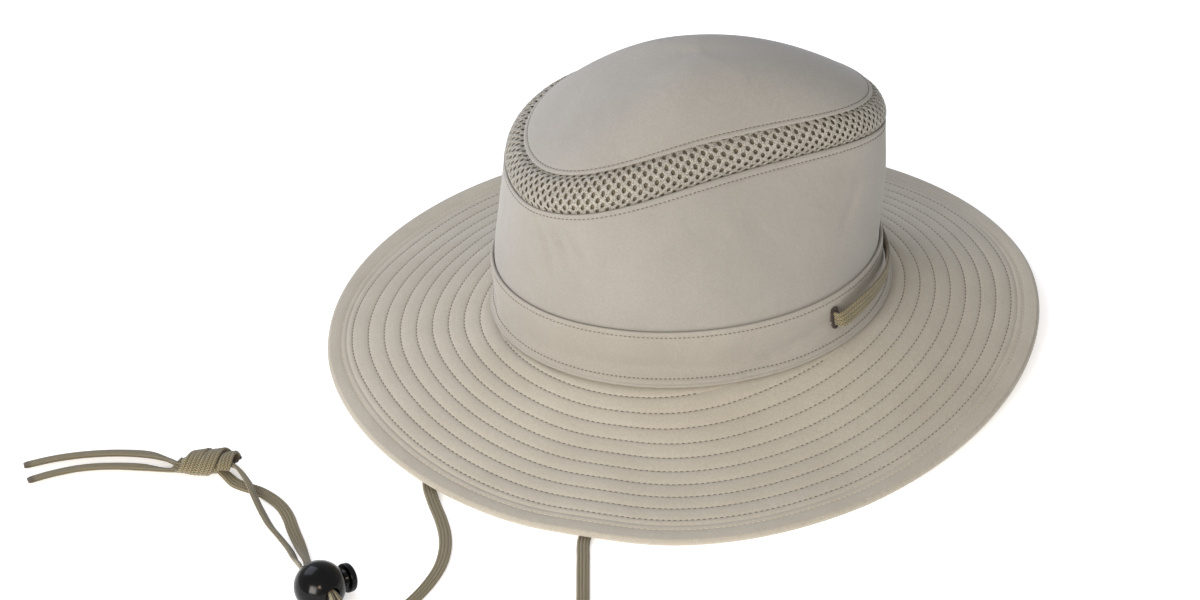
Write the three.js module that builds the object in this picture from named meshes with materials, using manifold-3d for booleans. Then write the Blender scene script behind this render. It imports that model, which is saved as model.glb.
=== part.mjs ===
// A soft safari hat with a quilted brim, a net ventilation band and a flat braided chin cord.
// Millimetres, +Z up. The hat rests on its rim at z = 0, with the middle of its brim at x = y = 0.
// The front of the hat is -Y and the wearer's right is -X.
import * as THREE from "three";
import { mergeVertices } from "three/addons/utils/BufferGeometryUtils.js";
import Module from "manifold-3d";

const wasm = await Module();
wasm.setup();

// Driving dimensions of the crown.
const headHalfWidth = 82.6;
const headHalfLength = 99.8;
const bandHeight = 28;
const sideHeight = 84;
const netRise = 15.5;
const domeRise = 36;
const crownWall = 1.2;
const bandWall = 1.4;
const netWall = 1.4;
const topWall = 1.2;
const seamGap = 0.3;
const footGap = 0.7;
const edgeLap = 3.2;
const netBulge = 2.2;
const lipHeight = 3.4;
const lipDepth = 0.8;
const dentDepth = 2.4;
const bandHollow = 1.2;

// Driving dimensions of the brim.
const brimSide = 86.5;
const brimFront = 77;
const brimBack = 87;
const brimDrop = 23.4;
const brimEndLift = 7.8;
const brimFlattening = 0.9;
const brimWall = 2.4;
const rimWall = 3;
const rimRoll = 9;
const ribPitch = 8.1;
const ribPuff = 0.6;

// Driving dimensions of the cord, its lock and its slits.
const cordWidth = 6.2;
const cordThickness = 2;
const slitHeight = 10.6;
const slitWidth = 3;
const slitStitch = 1.1;
const toggleRadius = 12;
const cordBoreWidth = 9;
const cordBoreHeight = 6.2;
const buttonRadius = 7.2;
const buttonReach = 6.4;
const stemRadius = 4.2;
const stemLength = 4.4;
const buttonTravel = 2.6;
const knotGirth = 9;

// How finely the soft pieces are faceted.
const around = 42;

const brimTopZ = rimWall + brimDrop;
const crownSetback = (brimBack - brimFront) / 2;
const ribCount = Math.round((brimSide - rimRoll) / ribPitch);
const fullTurn = Math.PI * 2;

// Rings of the crown, from its foot up. Widths are shares of headHalfWidth; lengths, centre and
// lean are shares of headHalfLength. A lean above 0 raises the back of a ring, sideLift its sides.
const bellyHeight = bandHeight + 0.52 * (sideHeight - bandHeight);
const ringColumns = ["height", "width", "front", "back", "centre", "egg", "box", "lean", "sideLift"];
const [footRing, bandTopRing, bellyRing, shoulderRing, panelRing] = [
  [0, 1, 0.995, 1.005, 0, -0.03, 0, -0.018, -0.017],
  [bandHeight, 0.966, 0.968, 1.003, 0, 0, 0, 0.009, 0.022],
  [bellyHeight, 0.79, 0.985, 0.962, -0.012, 0.2, 0.13, -0.008, 0.072],
  [sideHeight, 0.595, 0.967, 0.924, -0.025, 0.48, 0.34, -0.028, 0.13],
  [sideHeight + netRise, 0.535, 0.936, 0.785, 0.011, 0.28, 0.26, -0.047, 0.158],
].map((row) => Object.fromEntries(ringColumns.map((column, i) => [column, row[i]])));
const crownRings = [footRing, bandTopRing, bellyRing, shoulderRing];

// Soft dents of the crown. An angle of 90 degrees is the back of the hat and 180 the wearer's
// right; heights are shares of sideHeight and depths shares of dentDepth.
const crownDents = [
  { angle: 128, spread: 11, height: 0.8, reach: 0.22, depth: 1 },
  { angle: 147, spread: 9, height: 0.68, reach: 0.26, depth: 0.55 },
  { angle: 40, spread: 13, height: 0.7, reach: 0.25, depth: 0.8 },
  { angle: 178, spread: 26, height: 0.14, reach: 0.09, depth: 0.6 },
];

const clamp = (value, low, high) => Math.min(high, Math.max(low, value));
const mix = (a, b, share) => a + (b - a) * share;
const bell = (distance, spread) => Math.exp(-((distance / spread) ** 2));

// A point of a crown ring at an angle, 0 at the wearer's left and 90 degrees at the back.
function ringPoint(ring, angle) {
  const across = Math.cos(angle);
  const along = Math.sin(angle);
  const swell = 1 + ring.egg * along + ring.box * along ** 2;
  const reach = along < 0 ? ring.front : ring.back;
  return new THREE.Vector3(
    headHalfWidth * ring.width * across * swell,
    headHalfLength * (ring.centre + reach * along) - crownSetback,
    brimTopZ + ring.height + headHalfLength * ring.lean * along
      + headHalfWidth * ring.sideLift * across ** 2,
  );
}

function dentAt(angle, share) {
  const degrees = THREE.MathUtils.radToDeg(((angle % fullTurn) + fullTurn) % fullTurn);
  let depth = 0;
  for (const dent of crownDents) {
    depth += dent.depth * bell(degrees - dent.angle, dent.spread) * bell(share - dent.height, dent.reach);
  }
  return depth * dentDepth;
}

// The crown's outer form: share 0 at its foot, 1 at the top edge of the cloth side.
function crownForm(angle, share) {
  const height = share * sideHeight;
  const last = crownRings.length - 1;
  let index = 0;
  while (index < last - 1 && height > crownRings[index + 1].height) index += 1;
  const low = crownRings[index];
  const high = crownRings[index + 1];
  const part = (height - low.height) / (high.height - low.height);
  const before = ringPoint(crownRings[Math.max(0, index - 1)], angle);
  const after = ringPoint(crownRings[Math.min(last, index + 2)], angle);
  const from = ringPoint(low, angle);
  const to = ringPoint(high, angle);
  const startSlope = to.clone().sub(before).multiplyScalar(index > 0 ? 0.5 : 1);
  const endSlope = after.sub(from).multiplyScalar(index < last - 1 ? 0.5 : 1);
  const square = part * part;
  const cube = square * part;
  return from.multiplyScalar(2 * cube - 3 * square + 1)
    .addScaledVector(startSlope, cube - 2 * square + part)
    .addScaledVector(to, 3 * square - 2 * cube)
    .addScaledVector(endSlope, cube - square);
}

// Moves a point of a surface along its own normal. A depth above 0 goes into the hat.
function inset(surface, angle, share, depth) {
  const small = 0.004;
  const point = surface(angle, share);
  const alongAngle = surface(angle + small, share).sub(surface(angle - small, share));
  const alongShare = surface(angle, share + small).sub(surface(angle, share - small));
  const normal = alongAngle.cross(alongShare).normalize();
  return point.addScaledVector(normal, -depth);
}

// The crown cloth lies one band wall behind the band and comes out to the full form at its top.
function sidePoint(angle, share, depth) {
  const bandShare = bandHeight / sideHeight;
  const covered = 1 - clamp((share - bandShare) / (1 - bandShare), 0, 1);
  const behindBand = (bandWall + seamGap) * covered;
  return inset(crownForm, angle, share, behindBand + dentAt(angle, share) + depth);
}

// The net's form: share 0 at the side's top edge, 1 at the top panel's edge, bulging between.
function netForm(angle, share) {
  const low = ringPoint(shoulderRing, angle);
  const high = ringPoint(panelRing, angle);
  return low.lerp(high, share);
}

function netPoint(angle, share, depth) {
  const bulge = netBulge * Math.sin(Math.PI * clamp(share, 0, 1));
  return inset(netForm, angle, share, depth - bulge);
}

// The top panel's form: share 0 at its edge, 1 at its top.
function panelForm(angle, share) {
  const edge = ringPoint(panelRing, angle);
  const middleShare = panelRing.centre + (panelRing.back - panelRing.front) / 2;
  const middleY = headHalfLength * middleShare - crownSetback;
  const edgeZ = brimTopZ + panelRing.height;
  const rest = 1 - share;
  return new THREE.Vector3(
    edge.x * rest,
    mix(edge.y, middleY, share),
    edgeZ + (edge.z - edgeZ) * rest + domeRise * (1 - rest ** 1.94),
  );
}

// The brim's outline is an oval a little fuller at the back. Its outline and the crown's foot are
// joined by straight spokes, along which the brim falls, steeply at the sides and evenly at the ends.
function rimPoint(angle) {
  const across = Math.cos(angle);
  const along = Math.sin(angle);
  const corner = 2 / 1.92;
  const half = (headHalfLength * 2 + brimFront + brimBack) / 2;
  return new THREE.Vector3(
    (headHalfWidth + brimSide) * Math.sign(across) * Math.abs(across) ** corner * (1 + 0.03 * along),
    half * Math.sign(along) * Math.abs(along) ** corner,
    0,
  );
}

// The cord passes under the rim here, and the soft brim rides over it.
const cordCrossing = { angle: 155, spread: 9, lift: 2.3 };

function rimFloor(angle) {
  const degrees = THREE.MathUtils.radToDeg(((angle % fullTurn) + fullTurn) % fullTurn);
  const formed = brimEndLift * Math.sin(angle) ** 2 - brimFlattening;
  const ride = cordCrossing.lift * bell(degrees - cordCrossing.angle, cordCrossing.spread);
  return Math.max(0, formed) + ride;
}

function brimPoint(angle, share, side) {
  const foot = ringPoint(footRing, angle);
  const rim = rimPoint(angle);
  const width = Math.hypot(rim.x - foot.x, rim.y - foot.y);
  const fromRim = (1 - share) * width;
  const ribShare = clamp((fromRim - rimRoll) / (width - rimRoll), 0, 1);
  const puff = fromRim > rimRoll ? ribPuff * Math.abs(Math.sin(Math.PI * ribCount * ribShare)) : 0;
  const curve = 1.2 + 1.1 * Math.cos(angle) ** 2;
  const lowZ = rimFloor(angle);
  const wall = mix(brimWall, rimWall, clamp((share - 0.85) / 0.12, 0, 1));
  const settled = 1 - (rimRoll / brimSide) * Math.cos(angle) ** 2;
  const fall = 1 - (1 - clamp(share / settled, 0, 1)) ** curve;
  const under = mix(foot.z - brimWall, lowZ, fall);
  const z = side === "top" ? under + wall + puff : under;
  return new THREE.Vector3(mix(foot.x, rim.x, share), mix(foot.y, rim.y, share), z);
}

// Builds one closed body from a table of points, rows along the profile and columns around.
// A ring-shaped body's last row joins its first; otherwise the first and last rows are poles.
function closedBody(rows, isRing) {
  const positions = [];
  const indices = [];
  const starts = rows.map((row) => {
    const start = positions.length / 3;
    for (const point of row) positions.push(point.x, point.y, point.z);
    return start;
  });
  const count = isRing ? rows.length : rows.length - 1;
  for (let r = 0; r < count; r += 1) {
    const next = (r + 1) % rows.length;
    for (let i = 0; i < around; i += 1) {
      const j = (i + 1) % around;
      const a = starts[r] + (rows[r].length > 1 ? i : 0);
      const b = starts[r] + (rows[r].length > 1 ? j : 0);
      const c = starts[next] + (rows[next].length > 1 ? j : 0);
      const d = starts[next] + (rows[next].length > 1 ? i : 0);
      if (a !== b) indices.push(a, b, c);
      if (c !== d) indices.push(a, c, d);
    }
  }
  const geometry = new THREE.BufferGeometry();
  geometry.setAttribute("position", new THREE.Float32BufferAttribute(positions, 3));
  geometry.setIndex(indices);
  return outwards(geometry);
}

// Turns every face over where the body's signed volume says that they point in.
function outwards(geometry) {
  const position = geometry.getAttribute("position");
  const index = Array.from(geometry.getIndex().array);
  const corner = [new THREE.Vector3(), new THREE.Vector3(), new THREE.Vector3()];
  let volume = 0;
  for (let t = 0; t < index.length; t += 3) {
    for (let k = 0; k < 3; k += 1) corner[k].fromBufferAttribute(position, index[t + k]);
    volume += corner[0].dot(corner[1].clone().cross(corner[2]));
  }
  if (volume < 0) {
    for (let t = 0; t < index.length; t += 3) [index[t + 1], index[t + 2]] = [index[t + 2], index[t + 1]];
    geometry.setIndex(index);
  }
  geometry.computeVertexNormals();
  return geometry;
}

const ringRow = (place) => Array.from({ length: around }, (_, i) => place((i / around) * fullTurn));

// A wall swept round the hat: its outer stations are walked up and its inner ones down.
function wallBody(stations) {
  return closedBody(stations.map((station) => ringRow(station)), true);
}

function brimBody() {
  const topShares = [];
  const rollShare = 1 - rimRoll / brimSide;
  for (let k = 0; k <= 2 * ribCount; k += 1) topShares.push((k / (2 * ribCount)) * rollShare);
  topShares.push(mix(rollShare, 1, 0.3), mix(rollShare, 1, 0.85));
  const stations = topShares.map((share) => (angle) => brimPoint(angle, share, "top"));
  stations.push((angle) => brimPoint(angle, 1, "top").add(new THREE.Vector3(0, 0, -rimWall * 0.35)));
  stations.push((angle) => brimPoint(angle, 1, "under").add(new THREE.Vector3(0, 0, rimWall * 0.35)));
  for (const share of [mix(rollShare, 1, 0.88), rollShare, 0.68, 0.46, 0.22, 0]) {
    stations.push((angle) => brimPoint(angle, share, "under"));
  }
  // The inner edge stands a little inside the crown, which is sewn on over it.
  const inward = -(bandWall + seamGap + crownWall + 1.4) / brimSide;
  stations.push((angle) => brimPoint(angle, inward, "under"));
  stations.push((angle) => brimPoint(angle, inward, "top"));
  return wallBody(stations);
}

// Shares of the side height at which the band's inner face and the cloth behind it bend alike.
function bandShares() {
  const top = bandHeight / sideHeight;
  const foot = footGap / sideHeight;
  return [foot, mix(foot, top, 0.12), mix(foot, top, 0.4), mix(foot, top, 0.7), top];
}

function sideCrownBody() {
  const foot = footGap / sideHeight;
  const outer = [...bandShares(), 0.44, 0.56, 0.68, 0.8, 0.92, 1];
  const inner = [1, 0.85, 0.68, 0.5, 0.33, 0.16, foot];
  const stations = outer.map((share) => (angle) => sidePoint(angle, share, 0));
  for (const share of inner) stations.push((angle) => sidePoint(angle, share, crownWall));
  return wallBody(stations);
}

function hatBandBody() {
  const top = bandHeight / sideHeight;
  const foot = footGap / sideHeight;
  const lip = lipHeight / sideHeight;
  const out = (share, depth) => (angle) => inset(crownForm, angle, share, dentAt(angle, share) + depth);
  const stations = [
    out(foot, -lipDepth),
    out(lip, -lipDepth),
    out(lip * 1.25, 0.2),
    out(mix(lip, top, 0.35), bandHollow * 0.2),
    out(mix(lip, top, 0.65), bandHollow * 0.1),
    out(mix(lip, top, 0.94), 0),
    out(top, 0.3),
  ];
  for (const share of bandShares().reverse()) stations.push(out(share, bandWall));
  return wallBody(stations);
}

// The net is sewn behind the side's top edge and behind the panel's edge.
function meshBandBody() {
  const lapBelow = edgeLap / sideHeight;
  const lapAbove = edgeLap / (headHalfWidth * panelRing.width);
  const behindSide = crownWall + seamGap;
  const behindPanel = topWall + seamGap;
  const rows = (depth) => [
    (angle) => sidePoint(angle, 1 - lapBelow, behindSide + depth),
    (angle) => sidePoint(angle, 1, behindSide + depth),
    (angle) => netPoint(angle, 0.25, seamGap + depth),
    (angle) => netPoint(angle, 0.5, seamGap + depth),
    (angle) => netPoint(angle, 0.75, seamGap + depth),
    (angle) => inset(panelForm, angle, 0, behindPanel + depth),
    (angle) => inset(panelForm, angle, lapAbove, behindPanel + depth),
  ];
  return wallBody([...rows(0), ...rows(netWall).reverse()]);
}

function topPanelBody() {
  const outer = [0, 0.06, 0.18, 0.34, 0.52, 0.72, 0.88];
  const inner = [0.86, 0.7, 0.5, 0.3, 0.12, 0];
  const middle = (depth) => [panelForm(0, 1).add(new THREE.Vector3(0, 0, -depth))];
  const rows = [middle(topWall)];
  for (const share of inner) rows.push(ringRow((angle) => inset(panelForm, angle, share, topWall)));
  for (const share of outer) rows.push(ringRow((angle) => panelForm(angle, share)));
  rows.push(middle(0));
  return closedBody(rows, false);
}

// A smooth path with a flat cord's facing. Each row of the route holds a point, and the direction
// that the cord's width lies along there; the cord is faceted at these rows.
class FlatCordPath extends THREE.CatmullRomCurve3 {
  constructor(route) {
    super(route.map((row) => new THREE.Vector3(...row.at)), false, "centripetal");
    this.widths = route.map((row) => new THREE.Vector3(...row.wide));
  }

  getSpacedPoints(steps) {
    return this.getPoints(steps);
  }

  computeFrenetFrames(steps) {
    const frames = { tangents: [], normals: [], binormals: [] };
    for (let i = 0; i <= steps; i += 1) {
      const along = (i / steps) * (this.widths.length - 1);
      const low = Math.min(Math.floor(along), this.widths.length - 2);
      const tangent = this.getTangent(i / steps).normalize();
      const wide = this.widths[low].clone().lerp(this.widths[low + 1], along - low);
      wide.addScaledVector(tangent, -wide.dot(tangent)).normalize();
      frames.tangents.push(tangent);
      frames.normals.push(wide);
      frames.binormals.push(new THREE.Vector3().crossVectors(tangent, wide));
    }
    return frames;
  }
}

// The braid's section: a flat bar with rounded edges, eight-sided.
function cordSection() {
  const w = cordWidth / 2;
  const h = cordThickness / 2;
  const side = h * 0.45;
  const flat = w * 0.7;
  const upper = [[w, -side], [w, side], [flat, h], [-flat, h]];
  const corners = [...upper, ...upper.map(([x, y]) => [-x, -y])];
  return new THREE.Shape(corners.map(([x, y]) => new THREE.Vector2(x, y)));
}

function cordBody(route) {
  const extrudePath = new FlatCordPath(route);
  const steps = route.length - 1;
  return new THREE.ExtrudeGeometry(cordSection(), { steps, bevelEnabled: false, extrudePath });
}

function solidOf(geometry) {
  const plain = geometry.clone();
  plain.deleteAttribute("normal");
  plain.deleteAttribute("uv");
  const merged = mergeVertices(plain, 1e-4);
  const position = merged.getAttribute("position");
  return new wasm.Manifold(new wasm.Mesh({
    numProp: 3,
    vertProperties: new Float32Array(position.array),
    triVerts: new Uint32Array(merged.getIndex().array),
  }));
}

function geometryOf(solid) {
  const mesh = solid.getMesh();
  const geometry = new THREE.BufferGeometry();
  geometry.setAttribute("position", new THREE.BufferAttribute(Float32Array.from(mesh.vertProperties), 3));
  geometry.setIndex(Array.from(mesh.triVerts));
  geometry.computeVertexNormals();
  return geometry;
}

function cutFrom(geometry, tools) {
  return geometryOf(tools.reduce((solid, tool) => solid.subtract(solidOf(tool)), solidOf(geometry)));
}

// The two slits of the hat band, at the wearer's temples, and the way out of the hat at each.
const slitAngle = THREE.MathUtils.degToRad(217);
const slitShare = (bandHeight * 0.6) / sideHeight;

function slitFrame(side) {
  const angle = side === "right" ? slitAngle : Math.PI - slitAngle;
  const middle = inset(crownForm, angle, slitShare, 0);
  const out = middle.clone().sub(inset(crownForm, angle, slitShare, 1)).normalize();
  const level = new THREE.Vector3(-out.y, out.x, 0).normalize();
  const up = new THREE.Vector3().crossVectors(out, level);
  if (up.z < 0) up.negate();
  const basis = new THREE.Matrix4().makeBasis(new THREE.Vector3().crossVectors(up, out), up, out);
  basis.setPosition(middle);
  return basis;
}

function roundedOutline(width, height) {
  const r = width / 2;
  const half = height / 2 - r;
  const shape = new THREE.Shape();
  shape.absarc(0, half, r, 0, Math.PI, false);
  shape.absarc(0, -half, r, Math.PI, fullTurn, false);
  shape.closePath();
  return shape;
}

// A straight-sided body with an outline's section.
function extruded(outline, depth, curveSegments) {
  return new THREE.ExtrudeGeometry(outline, { depth, bevelEnabled: false, curveSegments });
}

// The hole through the band and the crown cloth.
function slitCutter(side) {
  const depth = 30;
  const geometry = extruded(roundedOutline(slitWidth, slitHeight), depth, 5);
  geometry.translate(0, 0, -depth / 2);
  return geometry.applyMatrix4(slitFrame(side));
}

// The overcast edge round a slit, a flat ring of thread on the band's face.
function slitEdge(side) {
  const proud = 0.8;
  const outline = roundedOutline(slitWidth + 2 * slitStitch, slitHeight + 2 * slitStitch);
  outline.holes.push(new THREE.Path(roundedOutline(slitWidth, slitHeight).getPoints(5).reverse()));
  const geometry = extruded(outline, proud, 5);
  geometry.translate(0, 0, seamGap + 0.5);
  return geometry.applyMatrix4(slitFrame(side));
}

// The cord lock lies on the surface, its button pointing to the hat's front.
const toggleCentre = new THREE.Vector3(-171, 199.5, toggleRadius + 0.02);
const buttonAxis = new THREE.Vector3(0.46, -0.86, -0.22).normalize();
const boreAxis = new THREE.Vector3(-0.877, -0.469, 0.1).normalize();
const pressHeight = toggleRadius * 0.86;

function toggleBallBody() {
  const socketRadius = stemRadius + seamGap;
  const socketDepth = pressHeight - (stemLength + buttonTravel + seamGap);
  const profile = [new THREE.Vector2(0, -toggleRadius)];
  const turns = 11;
  const topAngle = Math.asin(pressHeight / toggleRadius);
  for (let i = 1; i <= turns; i += 1) {
    const a = -Math.PI / 2 + (topAngle + Math.PI / 2) * (i / turns);
    profile.push(new THREE.Vector2(toggleRadius * Math.cos(a), toggleRadius * Math.sin(a)));
  }
  profile.push(new THREE.Vector2(socketRadius, pressHeight));
  profile.push(new THREE.Vector2(socketRadius, socketDepth));
  profile.push(new THREE.Vector2(0, socketDepth));
  const ball = outwards(mergeVertices(stripped(new THREE.LatheGeometry(profile, 16)), 1e-4));
  ball.applyQuaternion(new THREE.Quaternion().setFromUnitVectors(new THREE.Vector3(0, 1, 0), buttonAxis));
  ball.translate(toggleCentre.x, toggleCentre.y, toggleCentre.z);
  const bore = extruded(roundedOutline(cordBoreHeight, cordBoreWidth), toggleRadius * 3, 6);
  bore.translate(0, 0, -toggleRadius * 1.5);
  const wide = new THREE.Vector3().crossVectors(boreAxis, buttonAxis).normalize();
  const narrow = new THREE.Vector3().crossVectors(wide, boreAxis);
  const basis = new THREE.Matrix4().makeBasis(narrow, wide, boreAxis);
  basis.setPosition(toggleCentre);
  return cutFrom(ball, [bore.applyMatrix4(basis)]);
}

function stripped(geometry) {
  geometry.deleteAttribute("normal");
  geometry.deleteAttribute("uv");
  return geometry;
}

// The button: a domed cap on a stem that runs in the ball's socket.
function toggleButtonBody() {
  const capStart = pressHeight + buttonTravel + seamGap;
  const profile = [
    new THREE.Vector2(0, pressHeight - stemLength),
    new THREE.Vector2(stemRadius, pressHeight - stemLength),
    new THREE.Vector2(stemRadius, capStart),
    new THREE.Vector2(buttonRadius, capStart),
    new THREE.Vector2(buttonRadius, capStart + buttonReach * 0.35),
    new THREE.Vector2(buttonRadius * 0.86, capStart + buttonReach * 0.62),
    new THREE.Vector2(buttonRadius * 0.5, capStart + buttonReach * 0.75),
    new THREE.Vector2(0, capStart + buttonReach * 0.78),
  ];
  const button = outwards(mergeVertices(stripped(new THREE.LatheGeometry(profile, 16)), 1e-4));
  button.applyQuaternion(new THREE.Quaternion().setFromUnitVectors(new THREE.Vector3(0, 1, 0), buttonAxis));
  return button.translate(toggleCentre.x, toggleCentre.y, toggleCentre.z);
}

// Routes of the cord, points chosen by hand. At each point, wide is the way its width lies.
const upright = [0, 0, 1];
const upSlit = (side, depth) => new THREE.Vector3(0, 0, depth).applyMatrix4(slitFrame(side)).toArray();

// The two strands lie face to face in the bore, one on each side of its middle.
function inBore(side, along) {
  const apart = (side * (cordThickness + seamGap)) / 2;
  const place = toggleCentre.clone().addScaledVector(boreAxis, along);
  return place.addScaledVector(buttonAxis, apart).toArray();
}

// The front cord's course from a slit to the middle of the front, in degrees from the front.
const frontCourse = [
  { fromFront: 48.5, rise: 17.2, standOff: 3.9 },
  { fromFront: 44, rise: 17.8, standOff: 4.5 },
  { fromFront: 37, rise: 18.6, standOff: 4.7 },
  { fromFront: 29, rise: 19.2, standOff: 4.6 },
  { fromFront: 21, rise: 19.5, standOff: 3.2 },
  { fromFront: 14, rise: 19.5, standOff: 2.3 },
  { fromFront: 7, rise: 19.5, standOff: 1.9 },
];

function frontRow(course, side) {
  const turned = THREE.MathUtils.degToRad(course.fromFront);
  const angle = -Math.PI / 2 + (side === "right" ? -turned : turned);
  const place = inset(crownForm, angle, course.rise / sideHeight, -course.standOff);
  return { at: place.toArray(), wide: upright };
}

function frontRoute() {
  const half = (side) => [
    ...[-5.4, -2.6, 0, 2.3, 3.9].map((depth) => ({ at: upSlit(side, depth), wide: upright })),
    ...frontCourse.map((course) => frontRow(course, side)),
  ];
  const middle = frontRow({ fromFront: 0, rise: 19.5, standOff: 1.9 }, "right");
  return [...half("right"), middle, ...half("left").reverse()];
}

const rightRoute = [
  { at: upSlit("right", -6.1), wide: upright },
  { at: [-58.2, -58.8, 41.6], wide: [0.4, -0.6, 0.7] },
  { at: [-56.4, -57.8, 38.6], wide: [0.53, -0.85, 0.2] },
  { at: [-56, -57.2, 32], wide: [0.53, -0.85, 0] },
  { at: [-56.6, -56, 22], wide: [0.56, -0.83, 0] },
  { at: [-58.6, -52.6, 12], wide: [0.7, -0.7, 0] },
  { at: [-63, -46, 4.6], wide: [0.84, -0.5, 0] },
  { at: [-69, -37, 1.7], wide: [0.84, -0.5, 0] },
  { at: [-77, -25, 1.1], wide: [0.84, 0.5, 0] },
  { at: [-89, -7, 1.1], wide: [0.82, 0.57, 0] },
  { at: [-104, 14, 1.1], wide: [0.8, 0.6, 0] },
  { at: [-121, 38, 1.1], wide: [0.8, 0.6, 0] },
  { at: [-135, 60, 1.1], wide: [0.7, 0.7, 0] },
  { at: [-144, 71, 1.1], wide: [0.5, 0.85, 0] },
  { at: [-153.1, 75.8, 1.1], wide: [0.3, 0.95, 0] },
  { at: [-166.8, 78.4, 1.1], wide: [0.1, 1, 0] },
  { at: [-180.3, 80.6, 1.1], wide: [0.1, 1, 0] },
  { at: [-193.6, 82.7, 1.1], wide: [0.1, 1, 0] },
  { at: [-206.7, 84.9, 1.1], wide: [0.2, 1, 0] },
  { at: [-223, 90.6, 1.1], wide: [0.7, 0.8, 0] },
  { at: [-234.6, 103, 1.1], wide: [1, 0.6, 0] },
  { at: [-239, 121, 1.1], wide: [1, 0.1, 0] },
  { at: [-239.4, 143, 1.1], wide: [1, 0, 0] },
  { at: [-235.6, 163, 1.1], wide: [1, 0.3, 0] },
  { at: [-225, 179.4, 1.4], wide: [0.8, 0.6, 0.1] },
  { at: [-209, 188, 4.2], wide: [0.4, 0.8, 0.5] },
  { at: [-195, 191.8, 9.4], wide: [0.1, 0.5, 1] },
  { at: inBore(-1, 12), wide: upright },
  { at: inBore(-1, 0), wide: upright },
  { at: inBore(-1, -12), wide: upright },
  { at: [-152.6, 207.2, 8.8], wide: [-0.1, 0.2, 1] },
  { at: [-143.9, 209.4, 5.6], wide: [-0.2, 0.4, 0.9] },
  { at: [-132.7, 211.8, 3.4], wide: [-0.24, 0.53, 0.81] },
  { at: [-123.4, 215.4, 3.1], wide: [-0.24, 0.53, 0.81] },
  { at: [-113.8, 219.5, 3.1], wide: [-0.24, 0.53, 0.81] },
  { at: [-102.9, 222.6, 3.2], wide: [-0.24, 0.53, 0.81] },
  { at: [-94.3, 224.8, 4], wide: [-0.2, 0.5, 0.84] },
  { at: [-86.6, 226.5, 5.3], wide: [-0.2, 0.5, 0.84] },
  { at: [-79.3, 228.5, 5.4], wide: [-0.2, 0.5, 0.84] },
  { at: [-67.7, 233.3, 4.6], wide: [-0.3, 0.4, 0.86] },
];
const leftRoute = [
  { at: upSlit("left", -6.1), wide: upright },
  { at: [58.2, -58.8, 41.6], wide: [-0.4, -0.6, 0.7] },
  { at: [56.4, -57.8, 38.6], wide: [-0.53, -0.85, 0.2] },
  { at: [56, -57.2, 32], wide: [-0.53, -0.85, 0] },
  { at: [56.8, -56, 22], wide: [-0.56, -0.83, 0] },
  { at: [59, -52, 12], wide: [-0.8, -0.6, 0] },
  { at: [61, -44, 4.6], wide: [-1, -0.2, 0] },
  { at: [59, -32.5, 1.6], wide: [-1, -0.1, 0] },
  { at: [51, -18, 1.1], wide: [-0.84, -0.5, 0] },
  { at: [34, 5, 1.1], wide: [-0.83, -0.55, 0] },
  { at: [10, 34, 1.1], wide: [-0.8, -0.6, 0] },
  { at: [-18, 62, 1.1], wide: [-0.77, -0.63, 0] },
  { at: [-41, 89, 1.1], wide: [-0.75, -0.66, 0] },
  { at: [-62, 114, 1.1], wide: [-0.75, -0.66, 0] },
  { at: [-76, 131, 1.1], wide: [-0.6, -0.8, 0] },
  { at: [-86, 139.6, 1.1], wide: [-0.4, -0.9, 0] },
  { at: [-97.9, 142.4, 1.1], wide: [-0.1, -1, 0] },
  { at: [-111, 141.6, 1.1], wide: [0.1, -1, 0] },
  { at: [-124.6, 139.7, 1.1], wide: [0.1, -1, 0] },
  { at: [-135.6, 139.1, 1.1], wide: [0, -1, 0] },
  { at: [-146.1, 140.3, 1.1], wide: [-0.2, -1, 0] },
  { at: [-157.2, 143.9, 1.1], wide: [-0.4, -0.9, 0] },
  { at: [-167.6, 150.2, 1.1], wide: [-0.6, -0.8, 0] },
  { at: [-176.6, 157.8, 1.1], wide: [-0.7, -0.7, 0] },
  { at: [-184.4, 166.4, 1.5], wide: [-0.9, -0.5, 0] },
  { at: [-190, 175.6, 3.6], wide: [-1, -0.1, 0.3] },
  { at: [-191.4, 184, 7.4], wide: [-0.8, 0.1, 0.8] },
  { at: [-188, 189.4, 11.2], wide: [-0.2, 0, 1] },
  { at: inBore(1, 12), wide: upright },
  { at: inBore(1, 0), wide: upright },
  { at: inBore(1, -12), wide: upright },
  { at: [-148.4, 204.2, 7.6], wide: [0.1, 0.6, 0.9] },
  { at: [-138.3, 205.5, 4.4], wide: [0, 0.9, 0.6] },
  { at: [-128.4, 206.9, 2.2], wide: [-0.1, 1, 0.2] },
  { at: [-116.7, 209, 1.2], wide: [-0.2, 1, 0] },
  { at: [-106.6, 210.6, 1.1], wide: [-0.2, 1, 0] },
  { at: [-98.2, 213.4, 1.1], wide: [-0.4, 0.9, 0] },
  { at: [-91.1, 217.7, 1.1], wide: [-0.6, 0.8, 0] },
  { at: [-84.8, 223.2, 1.1], wide: [-0.7, 0.7, 0] },
  { at: [-80.4, 229.2, 1.1], wide: [-0.7, 0.7, 0] },
  { at: [-76, 234.2, 1.3], wide: [-0.7, 0.7, 0] },
  { at: [-70.7, 238, 2.1], wide: [-0.6, 0.8, 0.1] },
];
const endARoute = [
  { at: [-59.4, 259.8, 4.1], wide: [0.85, 0, -0.53] },
  { at: [-53.4, 265.4, 2.7], wide: [0.85, 0, -0.53] },
  { at: [-46.9, 274, 2.15], wide: [0.85, 0, -0.53] },
  { at: [-42.6, 287, 2.15], wide: [0.85, 0, -0.53] },
  { at: [-39.9, 303, 2.15], wide: [0.85, 0, -0.53] },
  { at: [-39.5, 319, 2.15], wide: [0.85, 0, -0.53] },
  { at: [-41.6, 335.2, 2.15], wide: [0.85, 0, -0.53] },
];
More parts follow.
